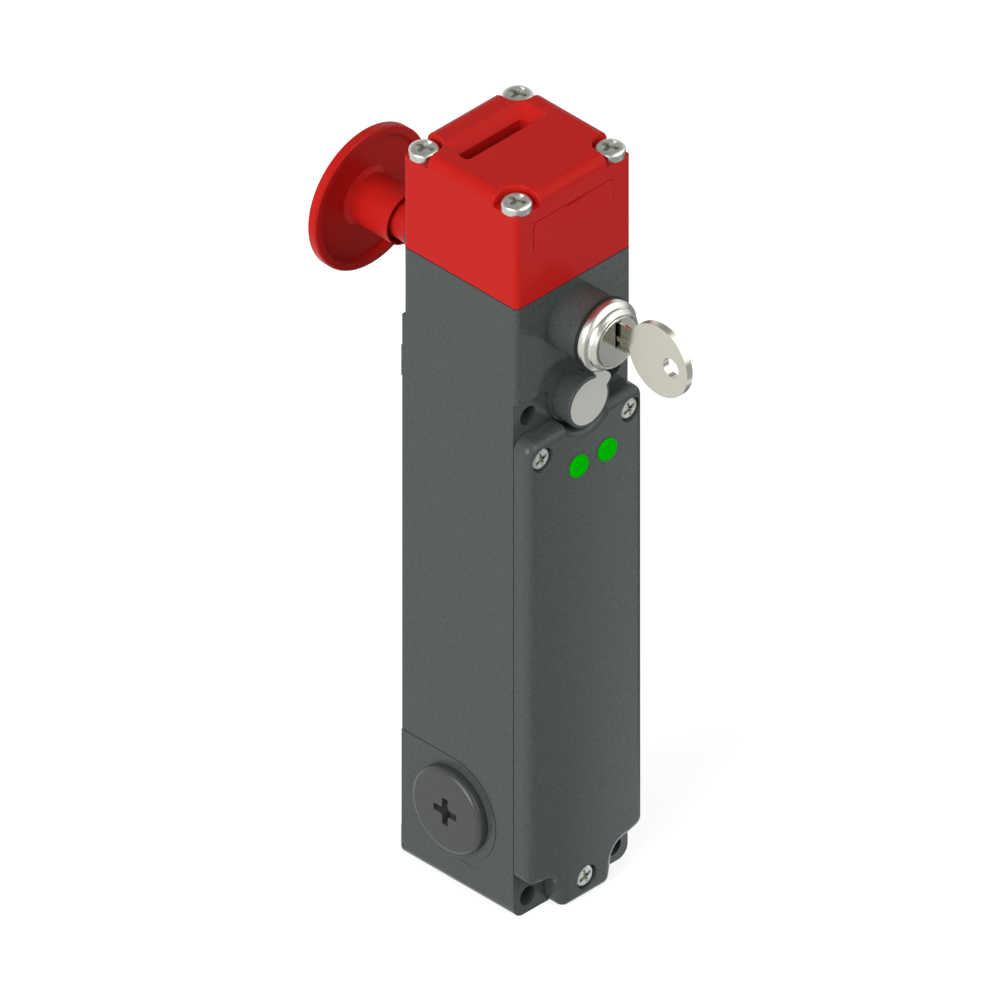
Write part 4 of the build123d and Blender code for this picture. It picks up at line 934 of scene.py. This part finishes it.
@dataclass
class EscapeRelease(SubAssembly):
    """The escape button at the back, on its rod in the grey sleeve."""

    finishes: ClassVar[dict[Finish, list[str]]] = {
        RED_POLYAMIDE: ["escape_button", "escape_rod"],
        GREY_POLYAMIDE: ["escape_sleeve"],
        ZINC_STEEL: ["escape_clip"],
    }


@dataclass
class CableEntries(SubAssembly):
    """The blanking plugs in the side entries, with their seals."""

    finishes: ClassVar[dict[Finish, list[str]]] = {
        GREY_POLYAMIDE: ["conduit_plug_left", "conduit_plug_right"],
        NITRILE: ["plug_gasket_left", "plug_gasket_right"],
    }


@dataclass
class Drive(SubAssembly):
    """The solenoid, the locking rod and their spring, with the turns of the winding.

    Attributes:
        wire_radius: Radius of the winding's wire, drawn three times its real size so that it shows.
        bore_radius: Radius of the bobbin's drum.
        stroke: Way of the locking rod against its spring; not used.
    """

    finishes: ClassVar[dict[Finish, list[str]]] = {
        ZINC_STEEL: [
            "solenoid_frame",
            "pole_piece",
            "solenoid_screws",
            "lock_spring",
            "locking_rod",
            "armature",
            "release_yoke",
        ],
        BLACK_POLYESTER: ["solenoid_bobbin"],
        COPPER_WIRE: ["solenoid_coil"],
    }
    wire_radius: float = 0.32
    bore_radius: float = 5.95
    stroke: float = 4.0

    def build(self) -> None:
        """Makes the spring and the winding."""
        self.spring()
        self.winding()

    def spring(self) -> None:
        """Makes the spring from a joined copy of the imported one."""
        shape = self.merged("lock_spring")
        mesh = bpy.data.meshes.new("pressed_spring")
        shape.to_mesh(mesh)
        shape.free()
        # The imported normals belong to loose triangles, so the joined ones are worked out anew
        mesh.attributes.remove(mesh.attributes["custom_normal"])
        made = self.settle(mesh, "pressed_spring", ZINC_STEEL, "steel", stands_for=("lock_spring",))
        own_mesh(made)

    def winding(self) -> None:
        """Winds the coil over a drum of wire."""
        low, high = (Vector(corner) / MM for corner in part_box("solenoid_coil"))
        foot = Vector(((low.x + high.x) / 2, (low.y + high.y) / 2, low.z))
        outer, height, wire = (high.x - low.x) / 2, high.z - low.z, self.wire_radius
        drum = [(self.bore_radius, 0.0), (outer - wire, 0.0), (outer - wire, height), (self.bore_radius, height)]
        sizes = {
            "Radius": (outer - wire) * MM,
            "Wire radius": wire * MM,
            "Height": (height - 2 * wire) * MM,
            "Turns": (height - 2 * wire) / (2 * wire),
            "Points a turn": 40,
            "Wire sides": 8,
        }
        turns = WoundWire().mesh(COPPER_WIRE, [foot + Vector((0.0, 0.0, wire))], sizes)
        shape = bmesh.new()
        shape.from_mesh(turns)
        shape.from_mesh(Turning(drum, tuple(foot), Axis.UP, steps=64).mesh("drum"))
        shape.to_mesh(turns)
        shape.free()
        self.settle(turns, "coil_winding", COPPER_WIRE, "copper_coil", stands_for=("solenoid_coil",))


@dataclass
class Contacts(SubAssembly):
    """The contact block with its contacts and screws, the follower with its bridge and spring, and the earth screw."""

    finishes: ClassVar[dict[Finish, list[str]]] = {
        BLACK_POLYESTER: ["contact_block", "follower"],
        STAMPED_BRASS: ["fixed_contacts", "contact_bridge", "earth_screw"],
        ZINC_STEEL: ["terminal_screws", "block_screws", "follower_spring"],
    }


@dataclass
class Studio:
    """Camera, lamps, floor and background.

    Attributes:
        aim: Point that the middle of the picture looks at, in metres.
        width: Width of the picture in metres, at the object.
        distance: How far the camera stands, in metres.
        sky: Strength of the even light on the object.
        side_lamp: Light of the soft lamp on the left, for each axis.
        front_lamp: Light of the soft lamp in front, for each axis.
        lamp_spread: Angle in degrees under which a lamp is seen.
        window: Brightness of the window at the front right that gloss shows.
        window_way: Where this window stands.
        window_edge: Cosines between which the window begins.
        side_window: Brightness of the small window on the left that gloss shows.
        side_way: Where the small window stands.
        side_edge: Cosines between which the small window begins.
        ceiling: Brightness of the ceiling that gloss shows.
        ceiling_edge: Rise of the directions between which the ceiling begins.
        floor_size: Half the floor's side, in metres.
        floor_grey: Grey of the floor.
        floor_shine: Light that the floor adds where it is seen.
        front_edge: X less Y, in metres, between which the floor in front of the object begins.
        front_tint: Colour of the floor in front that gloss shows.
        strip_edge: X plus Y, in metres, between which the floor in front gets brighter to the right.
        strip_light: Brightness of the floor in front that gloss shows, at both edges.
        fade_edge: X plus Y, in metres, between which it gets darker again behind the housing.
        fade_share: What is left of its brightness there.
    """

    aim: Vector = field(default_factory=lambda: Vector((-0.003015, 0.003015, 0.10884)))
    width: float = 0.24938
    distance: float = 1.5
    sky: float = 0.28
    side_lamp: tuple[float, float, float] = (-0.62, -0.02, 0.28)
    front_lamp: tuple[float, float, float] = (0.04, -0.28, 0.18)
    lamp_spread: float = 50.0
    window: float = 1.9
    window_way: tuple[float, float, float] = (1.0, -1.0, 1.0)
    window_edge: tuple[float, float] = (0.7, 0.93)
    side_window: float = 4.0
    side_way: tuple[float, float, float] = (-0.96, -0.19, 0.19)
    side_edge: tuple[float, float] = (0.94, 0.98)
    ceiling: float = 0.42
    ceiling_edge: tuple[float, float] = (0.3, 0.6)
    floor_size: float = 3.0
    floor_grey: float = 0.6
    floor_shine: float = 0.72
    front_edge: tuple[float, float] = (-0.004, 0.004)
    front_tint: tuple[float, float, float, float] = (0.97, 1.01, 1.06, 1.0)
    strip_edge: tuple[float, float] = (-0.034, -0.006)
    strip_light: tuple[float, float] = (0.5, 1.7)
    fade_edge: tuple[float, float] = (0.0, 0.02)
    fade_share: float = 0.2

    def put(self, name: str, data: bpy.types.ID) -> bpy.types.Object:
        """Puts a camera, lamp or mesh into the scene.

        Args:
            name: The object's name.
            data: The camera, lamp or mesh.

        Returns:
            The object.
        """
        made = bpy.data.objects.new(name, data)
        bpy.context.scene.collection.objects.link(made)
        return made

    def build(self) -> None:
        """Sets up the whole studio."""
        bpy.context.scene.view_settings.view_transform = "Standard"
        self.camera()
        self.world()
        self.lamp("side_lamp", self.side_lamp)
        self.lamp("front_lamp", self.front_lamp)
        self.floor()

    def camera(self) -> None:
        """Makes the camera: isometric, from the front and the left, from above."""
        back = Vector((-1, -1, 1)).normalized()
        data = bpy.data.cameras.new("camera")
        data.type = "ORTHO"
        data.ortho_scale = self.width
        made = self.put("camera", data)
        made.location = self.aim + back * self.distance
        made.rotation_euler = (-back).to_track_quat("-Z", "Y").to_euler()
        bpy.context.scene.camera = made

    def lamp(self, name: str, light: tuple[float, float, float]) -> None:
        """Makes a wide soft lamp.

        Args:
            name: The lamp's name.
            light: What it adds to a white face that looks along each axis.
        """
        towards = Vector(light)
        data = bpy.data.lights.new(name, "SUN")
        data.energy = math.pi * towards.length
        data.angle = math.radians(self.lamp_spread)
        made = self.put(name, data)
        made.rotation_euler = (-towards).to_track_quat("-Z", "Y").to_euler()

    def shown(self, tree: bpy.types.NodeTree) -> bpy.types.NodeSocket:
        """Gives 1 for what the camera sees, itself, in gloss or through glass.

        Args:
            tree: The nodes of the world or of a material.

        Returns:
            The socket that gives 1 or 0.
        """
        path = add_node(tree, "ShaderNodeLightPath").outputs
        rays = {0: path["Is Glossy Ray"], 1: path["Is Transmission Ray"]}
        rays = {0: path["Is Camera Ray"], 1: add_node(tree, "ShaderNodeMath", rays, operation="MAXIMUM").outputs[0]}
        return add_node(tree, "ShaderNodeMath", rays, operation="MAXIMUM").outputs[0]

    def world(self) -> None:
        """Makes the world: even light on the object, and the white studio that is seen and mirrored."""
        world = bpy.data.worlds.new("pale_studio")
        bpy.context.scene.world = world
        world.use_nodes = True
        tree = world.node_tree
        tree.nodes.clear()
        way = add_node(tree, "ShaderNodeTexCoord").outputs["Generated"]
        height = add_node(tree, "ShaderNodeSeparateXYZ", {0: way}).outputs["Z"]
        low, high = self.ceiling_edge
        room = {"Value": height, "From Min": low, "From Max": high, "To Min": 1.0, "To Max": self.ceiling}
        room = add_node(tree, "ShaderNodeMapRange", room, interpolation_type="SMOOTHSTEP").outputs[0]
        panes = (
            (self.window_way, self.window_edge, self.window),
            (self.side_way, self.side_edge, self.side_window),
        )
        for towards, (low, high), light in panes:
            near = {0: way, 1: Vector(towards).normalized()}
            near = add_node(tree, "ShaderNodeVectorMath", near, operation="DOT_PRODUCT").outputs["Value"]
            pane = {"Value": near, "From Min": low, "From Max": high}
            pane = add_node(tree, "ShaderNodeMapRange", pane, interpolation_type="SMOOTHSTEP").outputs[0]
            room = add_node(tree, "ShaderNodeMix", {0: pane, 2: room, 3: light}, data_type="FLOAT").outputs[0]
        camera = add_node(tree, "ShaderNodeLightPath").outputs["Is Camera Ray"]
        room = add_node(tree, "ShaderNodeMix", {0: camera, 2: room, 3: 1.0}, data_type="FLOAT").outputs[0]
        white = (1.0, 1.0, 1.0, 1.0)
        light = add_node(tree, "ShaderNodeBackground", {"Color": white, "Strength": self.sky}).outputs[0]
        seen = add_node(tree, "ShaderNodeBackground", {"Color": white, "Strength": room}).outputs[0]
        both = add_node(tree, "ShaderNodeMixShader", {0: self.shown(tree), 1: light, 2: seen}).outputs[0]
        add_node(tree, "ShaderNodeOutputWorld", {"Surface": both})

    def floor(self) -> None:
        """Makes the white floor, which keeps the object's soft shadow."""
        size = self.floor_size
        mesh = bpy.data.meshes.new("floor")
        mesh.from_pydata([(-size, -size, 0), (size, -size, 0), (size, size, 0), (-size, size, 0)], [], [(0, 1, 2, 3)])
        paint = bpy.data.materials.new("matt_white_floor")
        mesh.materials.append(paint)
        paint.use_nodes = True
        tree = paint.node_tree
        shader = tree.nodes["Principled BSDF"]
        shader.inputs["Base Color"].default_value = (self.floor_grey, self.floor_grey, self.floor_grey, 1.0)
        shader.inputs["Roughness"].default_value = 1.0
        shader.inputs["Specular IOR Level"].default_value = 0.0
        shader.inputs["Emission Color"].default_value = (1.0, 1.0, 1.0, 1.0)
        shine = {0: self.shown(tree), 1: self.floor_shine}
        shine = add_node(tree, "ShaderNodeMath", shine, operation="MULTIPLY").outputs[0]
        tree.links.new(shine, shader.inputs["Emission Strength"])
        glossy = add_node(tree, "ShaderNodeLightPath").outputs["Is Glossy Ray"]
        looks = {0: glossy, 1: shader.outputs[0], 2: self.mirrored(tree)}
        looks = add_node(tree, "ShaderNodeMixShader", looks).outputs[0]
        tree.links.new(looks, tree.nodes["Material Output"].inputs["Surface"])
        self.put("floor", mesh)

    def mirrored(self, tree: bpy.types.NodeTree) -> bpy.types.NodeSocket:
        """Makes the floor that gloss shows: white, and in front of the object cooler and brighter to the right.

        Args:
            tree: The floor material's nodes.

        Returns:
            The shader.
        """
        spot = add_node(tree, "ShaderNodeTexCoord").outputs["Object"]
        along, aside = (
            add_node(tree, "ShaderNodeVectorMath", {0: spot, 1: way}, operation="DOT_PRODUCT").outputs["Value"]
            for way in ((1.0, 1.0, 0.0), (1.0, -1.0, 0.0))
        )
        ramps = []
        for place, (low, high), (first, last) in (
            (along, self.strip_edge, self.strip_light),
            (along, self.fade_edge, (1.0, self.fade_share)),
            (aside, self.front_edge, (0.0, 1.0)),
        ):
            ramp = {"Value": place, "From Min": low, "From Max": high, "To Min": first, "To Max": last}
            ramps.append(add_node(tree, "ShaderNodeMapRange", ramp).outputs[0])
        strip, fade, front = ramps
        strip = add_node(tree, "ShaderNodeMath", {0: strip, 1: fade}, operation="MULTIPLY").outputs[0]
        shade = add_node(tree, "ShaderNodeMix", {0: front, 2: 1.0, 3: strip}, data_type="FLOAT").outputs[0]
        tint = {0: front, 6: (1.0, 1.0, 1.0, 1.0), 7: self.front_tint}
        tint = add_node(tree, "ShaderNodeMix", tint, data_type="RGBA").outputs[2]
        return add_node(tree, "ShaderNodeEmission", {"Color": tint, "Strength": shade}).outputs[0]


def main() -> None:
    """Loads the frame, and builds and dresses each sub-assembly."""
    logging.basicConfig(level=logging.INFO, format="%(message)s")
    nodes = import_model()["nodes"]
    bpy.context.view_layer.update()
    Studio().build()
    for group in (Housing, Cover, Head, KeyLock, ToolRelease, EscapeRelease, CableEntries, Drive, Contacts):
        part = group(nodes)
        part.dress()
        part.build()
        log.info("%s is done", group.__name__)


if __name__ == "__main__":
    main()
